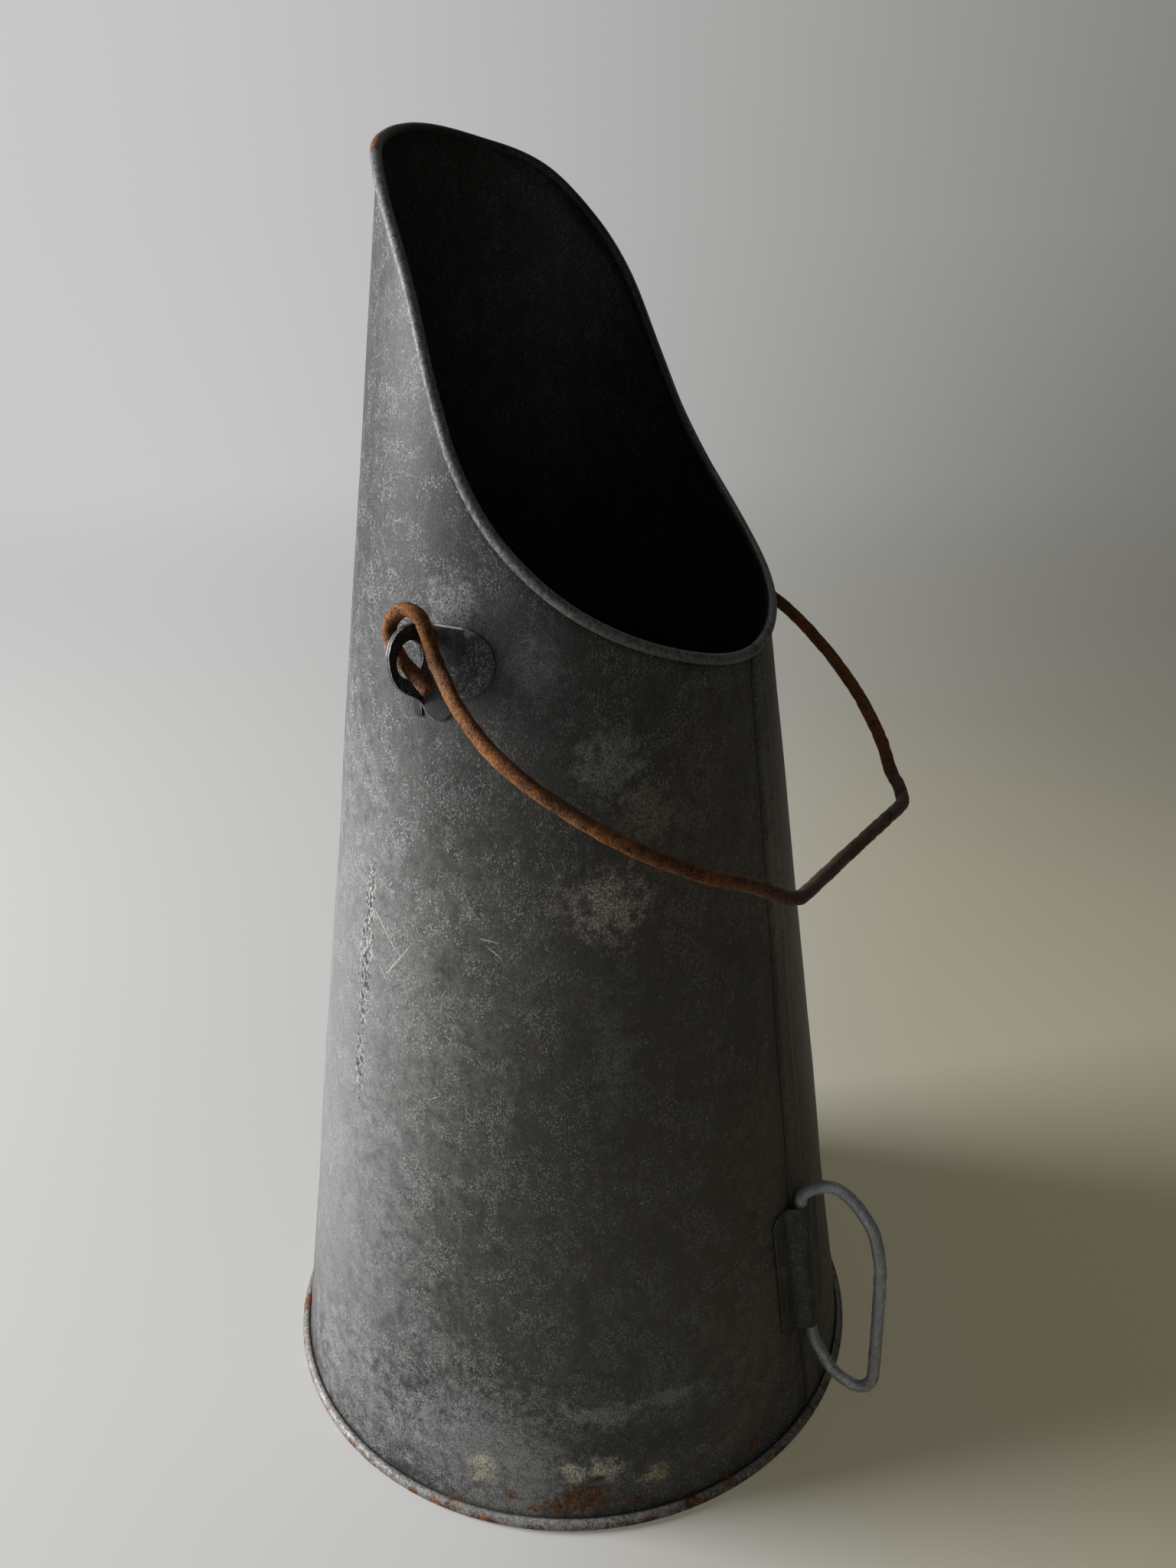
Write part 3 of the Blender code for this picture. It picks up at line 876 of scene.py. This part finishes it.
def build_patch_group():
    """A ragged patch about a centre: one inside, falling to nought over the share of its size named Soft."""
    tree, given, result = new_group(
        "ragged_patch",
        [("Position", "NodeSocketVector", None), ("Centre", "NodeSocketVector", (0, 0, 0)),
         ("Stretch", "NodeSocketVector", (1, 1, 1)), ("Size", "NodeSocketFloat", 0.01),
         ("Edge", "NodeSocketFloat", 0.5), ("Ragged", "NodeSocketFloat", 0.5),
         ("Soft", "NodeSocketFloat", 0.3)],
        [("Mask", "NodeSocketFloat")],
    )
    away = vector_node(tree, "SUBTRACT", given.outputs["Position"], given.outputs["Centre"])
    away = vector_node(tree, "MULTIPLY", away, given.outputs["Stretch"])
    share = math_node(tree, "DIVIDE", vector_node(tree, "LENGTH", away), given.outputs["Size"])
    broken = math_node(tree, "SUBTRACT", given.outputs["Edge"], 0.5)
    broken = times(tree, broken, times(tree, given.outputs["Ragged"], 3.0))
    edge = math_node(tree, "ADD", share, broken)
    inner = math_node(tree, "SUBTRACT", 1.1, given.outputs["Soft"])
    set_socket(tree, result.inputs["Mask"], range_node(tree, edge, 1.1, inner))
    return tree


zinc_group = build_zinc_group()
rust_group = build_rust_group()
patch_group = build_patch_group()
sheet_gloss = 0.22


def patch_mask(tree, position, centre, stretch, size, edge, ragged, soft):
    """Where a ragged patch lies, from nought to one."""
    patch = group_node(tree, patch_group, Position=position, Centre=centre, Stretch=stretch,
                       Size=size, Edge=edge, Ragged=ragged, Soft=soft)
    return patch.outputs["Mask"]


def zinc_material(name, dark, pale, specks=1.0, bump=0.25, gloss=sheet_gloss):
    material, tree, shader = new_material(name)
    shader.inputs["Specular IOR Level"].default_value = gloss
    position = object_position(tree)
    skin = group_node(tree, zinc_group, Position=position, Dark=dark, Pale=pale, Specks=specks, Runs=1.0)
    set_socket(tree, shader.inputs["Base Color"], skin.outputs["Color"])
    set_socket(tree, shader.inputs["Roughness"], skin.outputs["Roughness"])
    shader.inputs["Metallic"].default_value = 0.35
    set_socket(tree, shader.inputs["Normal"], bump_node(tree, skin.outputs["Height"], bump, 0.0006))
    return material


def ear_material(name, dark, pale, specks, painted_lobe_shadow):
    """Zinc with the bright line of the coating that set along the flange's top edge, a painted shadow of the
    eye on the lower lobe, and the left flange's end lifted out of the ear's painted shade.
    """
    material = zinc_material(name, dark, pale, specks)
    tree = material.node_tree
    shader = tree.nodes["Principled BSDF"]
    colour = shader.inputs["Base Color"].links[0].from_socket
    position = object_position(tree)
    close = noise_node(tree, position, 430.0, 4.0, 0.70)
    line = patch_mask(tree, position, (0.0120, 0, 0.3720), (0.045, 0, 1), 0.00035, close, 0.3, 0.3)
    drip = patch_mask(tree, position, (0.0183, 0, 0.3708), (1, 0, 1), 0.0019, close, 0.9, 0.6)
    x, _, z = split_vector(tree, position)
    # The left flange's end, out of the eye's shade, is lifted towards the wall's tone from the ear's darker
    # zinc, which is partly painted shade
    unshaded_flange_end = range_node(tree, x, -0.0120, -0.0160, 0.0, 0.5)
    colour = mix_node(tree, unshaded_flange_end, colour, (0.105, 0.105, 0.105, 1))
    # Painted shadow of the eye on the lower lobe
    lobe = range_node(tree, z, 0.3475, 0.3440, 0.0, painted_lobe_shadow)
    colour = mix_node(tree, lobe, colour, (0.018, 0.018, 0.018, 1))
    colour = mix_node(tree, times(tree, drip, 0.5), colour, (0.30, 0.30, 0.29, 1))
    set_socket(tree, shader.inputs["Base Color"], mix_node(tree, line, colour, (0.50, 0.50, 0.48, 1)))
    return material


def wall_place(azimuth_deg, height, radius=None):
    """A point on the wall, from its azimuth and height."""
    return around(radius or wall_radius(height), math.radians(azimuth_deg), height)


# Pale, brown and dark patches on the wall, two of them partly painted light: azimuth, height, size, stretch
# up and down, strength and colour
wall_marks = [
    (-14.0, 0.1800, 0.1900, 0.55, 0.62, (0.130, 0.117, 0.084, 1)),
    (-10.0, 0.0700, 0.0390, 1.0, 0.90, (0.200, 0.175, 0.120, 1)),
    (-6.0, 0.1450, 0.0300, 0.6, 0.80, (0.190, 0.165, 0.110, 1)),
    (-22.0, 0.0280, 0.0300, 1.6, 0.70, (0.190, 0.165, 0.115, 1)),
    (3.4, 0.2540, 0.0140, 0.30, 0.80, (0.300, 0.270, 0.200, 1)),
    (3.0, 0.3050, 0.0110, 0.30, 0.50, (0.240, 0.220, 0.170, 1)),
    # Pale bloom on the left flank, partly painted light where the window's light falls
    (-127.0, 0.1900, 0.1050, 0.52, 0.62, (0.37, 0.37, 0.37, 1)),
    (-77.0, 0.3850, 0.0800, 0.80, 0.62, (0.030, 0.031, 0.032, 1)),
    (-70.0, 0.3350, 0.0600, 0.90, 0.45, (0.030, 0.031, 0.032, 1)),
    # Pale bloom low on the left flank, partly painted light where the window's light falls
    (-116.0, 0.0900, 0.0700, 0.70, 0.45, (0.31, 0.31, 0.31, 1)),
    (-82.0, 0.3790, 0.0140, 1.1, 0.65, (0.36, 0.36, 0.36, 1)),
    (-60.7, 0.3591, 0.0120, 0.9, 0.45, (0.30, 0.30, 0.30, 1)),
    (-62.0, 0.0200, 0.0420, 2.2, 0.90, (0.27, 0.27, 0.26, 1)),
    (-50.0, 0.0390, 0.0240, 3.0, 0.80, (0.028, 0.028, 0.026, 1)),
    (-34.0, 0.0350, 0.0280, 2.8, 0.85, (0.026, 0.026, 0.024, 1)),
    (-44.8, 0.2745, 0.0170, 1.25, 0.35, (0.36, 0.345, 0.31, 1)),
    (-43.2, 0.3265, 0.0140, 0.9, 0.90, (0.38, 0.375, 0.35, 1)),
    (-35.3, 0.3070, 0.0120, 0.9, 0.80, (0.36, 0.32, 0.25, 1)),
    (-13.5, 0.3000, 0.0400, 0.6, 0.45, (0.22, 0.19, 0.14, 1)),
    (-45.0, 0.2110, 0.0105, 0.22, 0.40, (0.28, 0.278, 0.265, 1)),
    (-49.0, 0.0540, 0.0240, 3.4, 1.0, (0.34, 0.337, 0.32, 1)),
    (-36.0, 0.0570, 0.0200, 3.8, 0.9, (0.32, 0.318, 0.30, 1)),
    (-72.0, 0.0360, 0.0460, 1.2, 0.75, (0.37, 0.37, 0.365, 1)),
    (-72.0, 0.0240, 0.0540, 1.8, 0.35, (0.26, 0.26, 0.255, 1)),
    (-104.0, 0.0300, 0.0460, 1.4, 0.60, (0.36, 0.36, 0.355, 1)),
    (-120.0, 0.4700, 0.0500, 0.7, 0.55, (0.060, 0.060, 0.060, 1)),
    (-72.6, 0.0225, 0.0075, 0.8, 1.0, (0.66, 0.58, 0.38, 1)),
    (-60.0, 0.0250, 0.0170, 1.6, 0.60, (0.26, 0.26, 0.24, 1)),
    (-54.5, 0.0275, 0.0085, 1.5, 1.0, (0.74, 0.68, 0.50, 1)),
    (-49.0, 0.0280, 0.0080, 1.4, 1.0, (0.74, 0.68, 0.50, 1)),
    (-39.8, 0.0215, 0.0070, 1.2, 1.0, (0.66, 0.56, 0.28, 1)),
    (-66.0, 0.0390, 0.0100, 1.5, 0.45, (0.30, 0.30, 0.28, 1)),
    (-100.0, 0.0560, 0.0100, 0.6, 0.50, (0.36, 0.36, 0.36, 1)),
    (-83.0, 0.0770, 0.0140, 0.9, 0.40, (0.30, 0.30, 0.30, 1)),
    (118.0, 0.1500, 0.0260, 0.9, 0.60, (0.30, 0.298, 0.285, 1)),
    (165.0, 0.3300, 0.0190, 0.8, 0.60, (0.30, 0.298, 0.285, 1)),
    (60.0, 0.0300, 0.0180, 1.5, 0.80, (0.36, 0.34, 0.25, 1)),
    (80.0, 0.2500, 0.0160, 0.7, 0.50, (0.28, 0.26, 0.22, 1)),
]
# Rust on the wall and the rolled edges: azimuth, height, size, stretch up and down
rust_marks = [
    (-53.5, 0.0145, 0.0125, 1.4), (-58.0, 0.0110, 0.0065, 1.6), (-67.0, 0.0141, 0.0040, 1.3),
    (-62.0, 0.0085, 0.0042, 1.8), (-43.0, 0.0100, 0.0060, 2.2), (-55.5, 0.0250, 0.0030, 1.0),
    (-50.5, 0.0245, 0.0045, 1.0), (-72.5, 0.0285, 0.0022, 1.0), (-67.0, 0.0200, 0.0030, 1.2),
    (-78.0, 0.0030, 0.0050, 1.6), (-72.0, 0.0020, 0.0040, 1.6), (-33.0, 0.0035, 0.0050, 1.6),
    (-25.0, 0.0040, 0.0042, 1.4), (-18.0, 0.0120, 0.0042, 1.2), (38.0, 0.0060, 0.0090, 1.8),
    (112.0, 0.0080, 0.0110, 1.9), (-140.0, 0.0060, 0.0070, 1.7), (168.0, 0.0090, 0.0100, 1.9),
]
foot_mark_radius = 0.132
# Rust at the tip of the spout, the same way
tip_rust = [(-159, 0.5295, 0.0085, 1), (-146, 0.5270, 0.0060, 1), (-137, 0.5235, 0.0050, 1)]
# Pale grainy patches, the same way
grainy_patches = [(-45.2, 0.2745, 0.0190, 1.25), (-44.0, 0.2710, 0.0120, 0.85)]
# The pitted streak on the left, the same way
streak_marks = [
    (-106.4, 0.2620, 0.0038, 0.18), (-107.0, 0.2400, 0.0050, 0.20), (-107.4, 0.2190, 0.0044, 0.18),
    (-107.8, 0.1880, 0.0034, 0.14),
]
# Short bright scratches: azimuth, height, length, and lean from level
scratches = [
    (-71.8, 0.2592, 0.0042, -6), (-70.2, 0.2545, 0.0042, -36), (-95.8, 0.2405, 0.0130, 52),
    (-100.4, 0.2325, 0.0040, -50), (-100.6, 0.2510, 0.0130, -43), (-84.0, 0.1900, 0.0030, 30),
    (-40.0, 0.1500, 0.0030, 10), (-120.0, 0.1200, 0.0060, 70), (100.0, 0.2200, 0.0070, 25),
    (150.0, 0.1800, 0.0050, -20),
]
scratch_width = 0.0002
wide_mark = 0.05


def scratch_mask(tree, position, edge, azimuth, height, length, lean):
    """A thin line on the wall, leaning from level."""
    turn = tree.nodes.new("ShaderNodeVectorRotate")
    turn.rotation_type = "EULER_XYZ"
    set_socket(tree, turn.inputs["Vector"], position)
    turn.inputs["Center"].default_value = wall_place(azimuth, height)
    turn.inputs["Rotation"].default_value = (0, math.radians(lean), math.radians(-azimuth))
    stretch = (0.2, 1, length / scratch_width)
    return patch_mask(tree, turn.outputs[0], wall_place(azimuth, height), stretch, length, edge, 0.2, 0.6)


def wall_patches(tree, position, marks, edge, ragged, soft, radius=None):
    """One mask for all the patches of a table."""
    return highest(tree, [
        patch_mask(tree, position, wall_place(azimuth, height, radius), (1, 1, stretch), size,
                   edge, ragged, soft)
        for azimuth, height, size, stretch in marks
    ])


def attribute_node(tree, name):
    node = tree.nodes.new("ShaderNodeAttribute")
    node.attribute_name = name
    return node.outputs["Fac"]


def body_material():
    """The wall's zinc, with its bloom, scratches, dirt and rust where the real one has them, pale patches on
    the left flank that are partly painted light, and darker creases at its rolled edges.
    """
    material, tree, shader = new_material("body_zinc")
    shader.inputs["Specular IOR Level"].default_value = sheet_gloss
    position = object_position(tree)
    skin = group_node(tree, zinc_group, Position=position, Dark=(0.030, 0.031, 0.032, 1),
                      Pale=(0.158, 0.159, 0.160, 1), Specks=1.0, Runs=1.0)
    colour = skin.outputs["Color"]
    coarse = noise_node(tree, position, 190.0, 5.0, 0.68)
    close = noise_node(tree, position, 430.0, 4.0, 0.70)
    broken = noise_node(tree, vector_node(tree, "MULTIPLY", position, (1.0, 1.0, 0.6)), 800.0, 3.0, 0.75)
    grains = range_node(tree, noise_node(tree, position, 1100.0, 4.0, 0.85), 0.40, 0.60)
    soft_grains = math_node(tree, "MULTIPLY_ADD", grains, 0.45, 0.55)
    for azimuth, height, size, stretch, strength, tint in wall_marks:
        ragged, worn = (1.0, grains) if size < wide_mark else (0.3, soft_grains)
        mark = patch_mask(tree, position, wall_place(azimuth, height), (1, 1, stretch), size,
                          coarse, ragged, 0.95)
        colour = mix_node(tree, times(tree, mark, times(tree, worn, strength)), colour, tint)
    grit = range_node(tree, noise_node(tree, position, 1300.0, 3.0, 0.80), 0.49, 0.60, 0.04, 0.85)
    for patch in grainy_patches:
        mark = wall_patches(tree, position, [patch], coarse, 1.0, 0.95)
        colour = mix_node(tree, times(tree, mark, grit), colour, (0.66, 0.60, 0.51, 1))
    pitted = wall_patches(tree, position, streak_marks, close, 0.9, 0.5)
    light_pits = times(tree, pitted, range_node(tree, broken, 0.52, 0.60, 0.0, 0.85))
    dark_pits = times(tree, pitted, range_node(tree, broken, 0.50, 0.42))
    colour = mix_node(tree, light_pits, colour, (0.46, 0.46, 0.44, 1))
    colour = mix_node(tree, dark_pits, colour, (0.035, 0.035, 0.033, 1))
    lines = highest(tree, [scratch_mask(tree, position, close, *scratch) for scratch in scratches])
    lines = times(tree, lines, range_node(tree, broken, 0.38, 0.52, 0.2, 0.9))
    colour = mix_node(tree, lines, colour, (0.62, 0.62, 0.60, 1))
    worn = times(tree, attribute_node(tree, "bead"), range_node(tree, broken, 0.38, 0.62, 0.15, 0.95))
    colour = mix_node(tree, worn, colour, (0.34, 0.335, 0.32, 1))
    # Darker along the seam's groove, which is dirt, and at the rolls' free ends and the foot's crease
    dirt_and_creases = times(tree, attribute_node(tree, "dirt_and_creases"), 0.85)
    colour = mix_node(tree, dirt_and_creases, colour, (0.016, 0.015, 0.013, 1))
    near_foot = range_node(tree, split_vector(tree, position)[2], 0.0056, 0.0030)
    rust = highest(tree, [
        wall_patches(tree, position, rust_marks, close, 0.9, 0.6, foot_mark_radius),
        wall_patches(tree, position, tip_rust, close, 0.9, 0.6),
        times(tree, near_foot, range_node(tree, coarse, 0.48, 0.56)),
    ])
    rust = times(tree, rust, range_node(tree, broken, 0.34, 0.48))
    scale = group_node(tree, rust_group, Position=position, Wear=0.0)
    dull = range_node(tree, close, 0.42, 0.54, 0.80, 0.0)
    colour = mix_node(tree, rust, colour, mix_node(tree, dull, scale.outputs["Color"], dull_rust))
    rough = math_node(tree, "MULTIPLY_ADD", rust, 0.22, skin.outputs["Roughness"])
    set_socket(tree, shader.inputs["Base Color"], colour)
    set_socket(tree, shader.inputs["Roughness"], rough)
    set_socket(tree, shader.inputs["Metallic"], math_node(tree, "MULTIPLY_ADD", rust, -0.3, 0.3))
    set_socket(tree, shader.inputs["Normal"], bump_node(tree, skin.outputs["Height"], 0.35, 0.0005))
    return material


def rust_material(name):
    """Rust all over, worn to a grey-brown where the hand holds the grip."""
    material, tree, shader = new_material(name)
    shader.inputs["Specular IOR Level"].default_value = 0.25
    position = object_position(tree)
    held = range_node(tree, split_vector(tree, position)[0], 0.1130, 0.1290, 0.12, 1.0)
    scale = group_node(tree, rust_group, Position=position, Wear=held)
    set_socket(tree, shader.inputs["Base Color"], scale.outputs["Color"])
    set_socket(tree, shader.inputs["Roughness"], scale.outputs["Roughness"])
    set_socket(tree, shader.inputs["Normal"], bump_node(tree, scale.outputs["Height"], 0.8, 0.0008))
    return material


def dress(piece, material, body, slot, *nodes):
    """Gives a piece its material, unless it has some, its body and the nodes it replaces. The slot is not
    used.
    """
    if material:
        piece.data.materials.clear()
        piece.data.materials.append(material)
    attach(piece, body)
    if nodes:
        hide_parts(*nodes)


body_zinc = body_material()
sooty_inside = zinc_material("sooty_inside", (0.024, 0.024, 0.0235, 1), (0.070, 0.069, 0.067, 1),
                             specks=0.2, gloss=0.10)
# The ears' zinc is darker than the wall's: dirt and painted shade of the standing eye; the last number is
# the strength of the painted shadow on the lower lobe
ear_zinc = ear_material("ear_zinc", (0.020, 0.020, 0.021, 1), (0.082, 0.083, 0.083, 1), 0.6, 0.8)
# Paler zinc on the ears' cut edges: a painted highlight where the edges catch the light
ear_edge_highlight = ear_material("ear_edge_highlight", (0.150, 0.152, 0.152, 1), (0.360, 0.360, 0.355, 1), 0.8, 0.0)
floor_zinc = zinc_material("floor_zinc", (0.026, 0.026, 0.026, 1), (0.080, 0.080, 0.078, 1), specks=0.5)
# The handle's zinc is far paler than the wall's: painted light, for the light the handle catches beside the
# body
handle_zinc = zinc_material("handle_zinc", (0.300, 0.305, 0.315, 1), (0.860, 0.865, 0.880, 1),
                            bump=0.6, gloss=0.5)
saddle_zinc = zinc_material("saddle_zinc", (0.038, 0.037, 0.031, 1), (0.150, 0.143, 0.120, 1), specks=0.45)
# Paler zinc on the saddle's cut edges: a painted highlight where they catch the light
saddle_edge_highlight = zinc_material("saddle_edge_highlight", (0.110, 0.110, 0.100, 1), (0.300, 0.298, 0.280, 1), specks=0.8)
hidden_wire = zinc_material("hidden_wire", (0.10, 0.10, 0.10, 1), (0.20, 0.20, 0.19, 1))
bail_rust = rust_material("bail_rust")

shell = build_shell()
dress(shell, body_zinc, "scuttle", "weathered_zinc", "body_shell")
shell.data.materials.append(sooty_inside)
# Faces on the inside of the sheet are sooty
for face in shell.data.polygons:
    middle = Vector((face.center.x, face.center.y, 0))
    inward = middle.normalized().dot(face.normal) < -0.2
    deep = middle.length < wall_radius(face.center.z) - sheet * 0.4
    face.material_index = 1 if inward and deep and 0.010 < face.center.z else 0
bail = build_bail()
dress(bail, bail_rust, "bail", "rusty_wire", "bail")
handle = build_handle()
dress(handle, handle_zinc, "scuttle", "handle_zinc", "tipping_handle")
right_ear = build_ear("folded_ear_right", -1)
dress(right_ear, None, "scuttle", "ear_zinc", "right_ear")
left_ear = build_ear("folded_ear_left", 1)
dress(left_ear, None, "scuttle", "ear_zinc", "left_ear")
saddle = build_saddle()
dress(saddle, None, "scuttle", "saddle_zinc", "handle_saddle")
pan = build_floor_pan()
dress(pan, floor_zinc, "scuttle", "floor_zinc", "floor_pan")

# The wires inside the rolls keep their solids
for node in ("rim_wire", "foot_wire"):
    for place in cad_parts[node].material_slots:
        place.material = hidden_wire


# Floor, light and camera

backdrop_painted_light = (0.58, 0.585, 0.585, 1)
backdrop_painted_shade = (0.135, 0.131, 0.115, 1)
floor_pale = (0.72, 0.715, 0.69, 1)
floor_painted_warm_fill = (0.74, 0.69, 0.54, 1)
floor_painted_shade = (0.300, 0.266, 0.165, 1)
floor_bounce = (0.22, 0.219, 0.214, 1)
away_from_window = (0.824, 0.566, 0.0)
background_rays = ("Is Camera Ray", "Is Glossy Ray", "Is Transmission Ray")
camera_place = (0.2908, -0.4059, 0.5015)
camera_azimuth_deg = 34.478
camera_down_deg = 23.88
camera_roll_deg = -0.55
camera_lens = 29.67


def backdrop_colour(tree, direction, shaded):
    """The backdrop's colour: painted light towards the window, falling off to painted shade away from it."""
    level = vector_node(tree, "NORMALIZE", direction)
    across = vector_node(tree, "DOT_PRODUCT", level, away_from_window)
    return mix_node(tree, range_node(tree, across, -0.45, 0.75), backdrop_painted_light, shaded)


def build_floor():
    """A wide plane that turns into the backdrop's colour with distance. Seen from the camera it turns warm
    away from the window, as painted fill light, and near the object part of it glows as painted light and
    shade, which lifts the object's shadow.
    """
    bpy.ops.object.select_all(action="DESELECT")
    bpy.ops.mesh.primitive_plane_add(size=60, location=(0, 0, 0))
    floor = bpy.context.object
    floor.name = "floor"
    material, tree, shader = new_material("pale_floor")
    rays = tree.nodes.new("ShaderNodeLightPath")
    seen = highest(tree, [rays.outputs[name] for name in background_rays])
    across = vector_node(tree, "DOT_PRODUCT", object_position(tree), away_from_window)
    # Painted warm fill light on the side away from the window
    pale = mix_node(tree, range_node(tree, across, 0.02, 0.30), floor_pale, floor_painted_warm_fill)
    set_socket(tree, shader.inputs["Base Color"], mix_node(tree, seen, floor_bounce, pale))
    shader.inputs["Roughness"].default_value = 0.6
    distance = vector_node(tree, "LENGTH", object_position(tree))
    # Near the object a share of the floor glows in painted light and a warm painted shade, lifting the
    # object's shadow
    far = range_node(tree, distance, 0.18, 2.4, 0.30, 1.0)
    shaded = mix_node(tree, range_node(tree, distance, 0.30, 0.95), floor_painted_shade, backdrop_painted_shade)
    glow = tree.nodes.new("ShaderNodeEmission")
    set_socket(tree, glow.inputs["Color"], backdrop_colour(tree, object_position(tree), shaded))
    mix = tree.nodes.new("ShaderNodeMixShader")
    set_socket(tree, mix.inputs[0], times(tree, far, seen))
    tree.links.new(shader.outputs[0], mix.inputs[1])
    tree.links.new(glow.outputs[0], mix.inputs[2])
    tree.links.new(mix.outputs[0], tree.nodes["Material Output"].inputs["Surface"])
    floor.data.materials.append(material)


def add_area_light(name, place, target, size, power):
    data = bpy.data.lights.new(name, "AREA")
    data.shape = "RECTANGLE"
    data.size, data.size_y = size
    data.energy = power
    lamp = bpy.data.objects.new(name, data)
    bpy.context.scene.collection.objects.link(lamp)
    lamp.location = place
    lamp.rotation_euler = (Vector(target) - Vector(place)).to_track_quat("-Z", "Y").to_euler()


def build_world():
    """A dim even room, with the backdrop's colour, painted lighter towards the window, where it is seen."""
    world = bpy.data.worlds.new("soft_room")
    bpy.context.scene.world = world
    world.use_nodes = True
    tree = world.node_tree
    tree.nodes.clear()
    out = tree.nodes.new("ShaderNodeOutputWorld")
    room = tree.nodes.new("ShaderNodeBackground")
    room.inputs["Color"].default_value = (0.80, 0.80, 0.80, 1)
    room.inputs["Strength"].default_value = 0.032
    seen = tree.nodes.new("ShaderNodeBackground")
    direction = tree.nodes.new("ShaderNodeTexCoord").outputs["Generated"]
    set_socket(tree, seen.inputs["Color"], backdrop_colour(tree, direction, backdrop_painted_shade))
    seen.inputs["Strength"].default_value = 1.0
    rays = tree.nodes.new("ShaderNodeLightPath")
    mix = tree.nodes.new("ShaderNodeMixShader")
    shown = highest(tree, [rays.outputs[name] for name in background_rays])
    tree.links.new(shown, mix.inputs[0])
    tree.links.new(room.outputs[0], mix.inputs[1])
    tree.links.new(seen.outputs[0], mix.inputs[2])
    tree.links.new(mix.outputs[0], out.inputs[0])


def build_camera():
    data = bpy.data.cameras.new("camera")
    data.lens = camera_lens
    data.sensor_width = 36
    data.clip_start = 0.01
    camera = bpy.data.objects.new("camera", data)
    bpy.context.scene.collection.objects.link(camera)
    turn = Matrix.Rotation(math.radians(camera_azimuth_deg), 4, "Z")
    turn @= Matrix.Rotation(math.radians(90 - camera_down_deg), 4, "X")
    turn @= Matrix.Rotation(math.radians(camera_roll_deg), 4, "Z")
    camera.matrix_world = Matrix.Translation(camera_place) @ turn
    bpy.context.scene.camera = camera


build_floor()
add_area_light("window", (-1.75, -1.20, 0.95), (0, 0, 0.25), (0.95, 1.25), 84)
add_area_light("room_fill", (0.6, -1.6, 1.5), (0, 0, 0.25), (1.6, 1.6), 1.2)
build_world()
build_camera()
bpy.context.scene.view_settings.view_transform = "Standard"
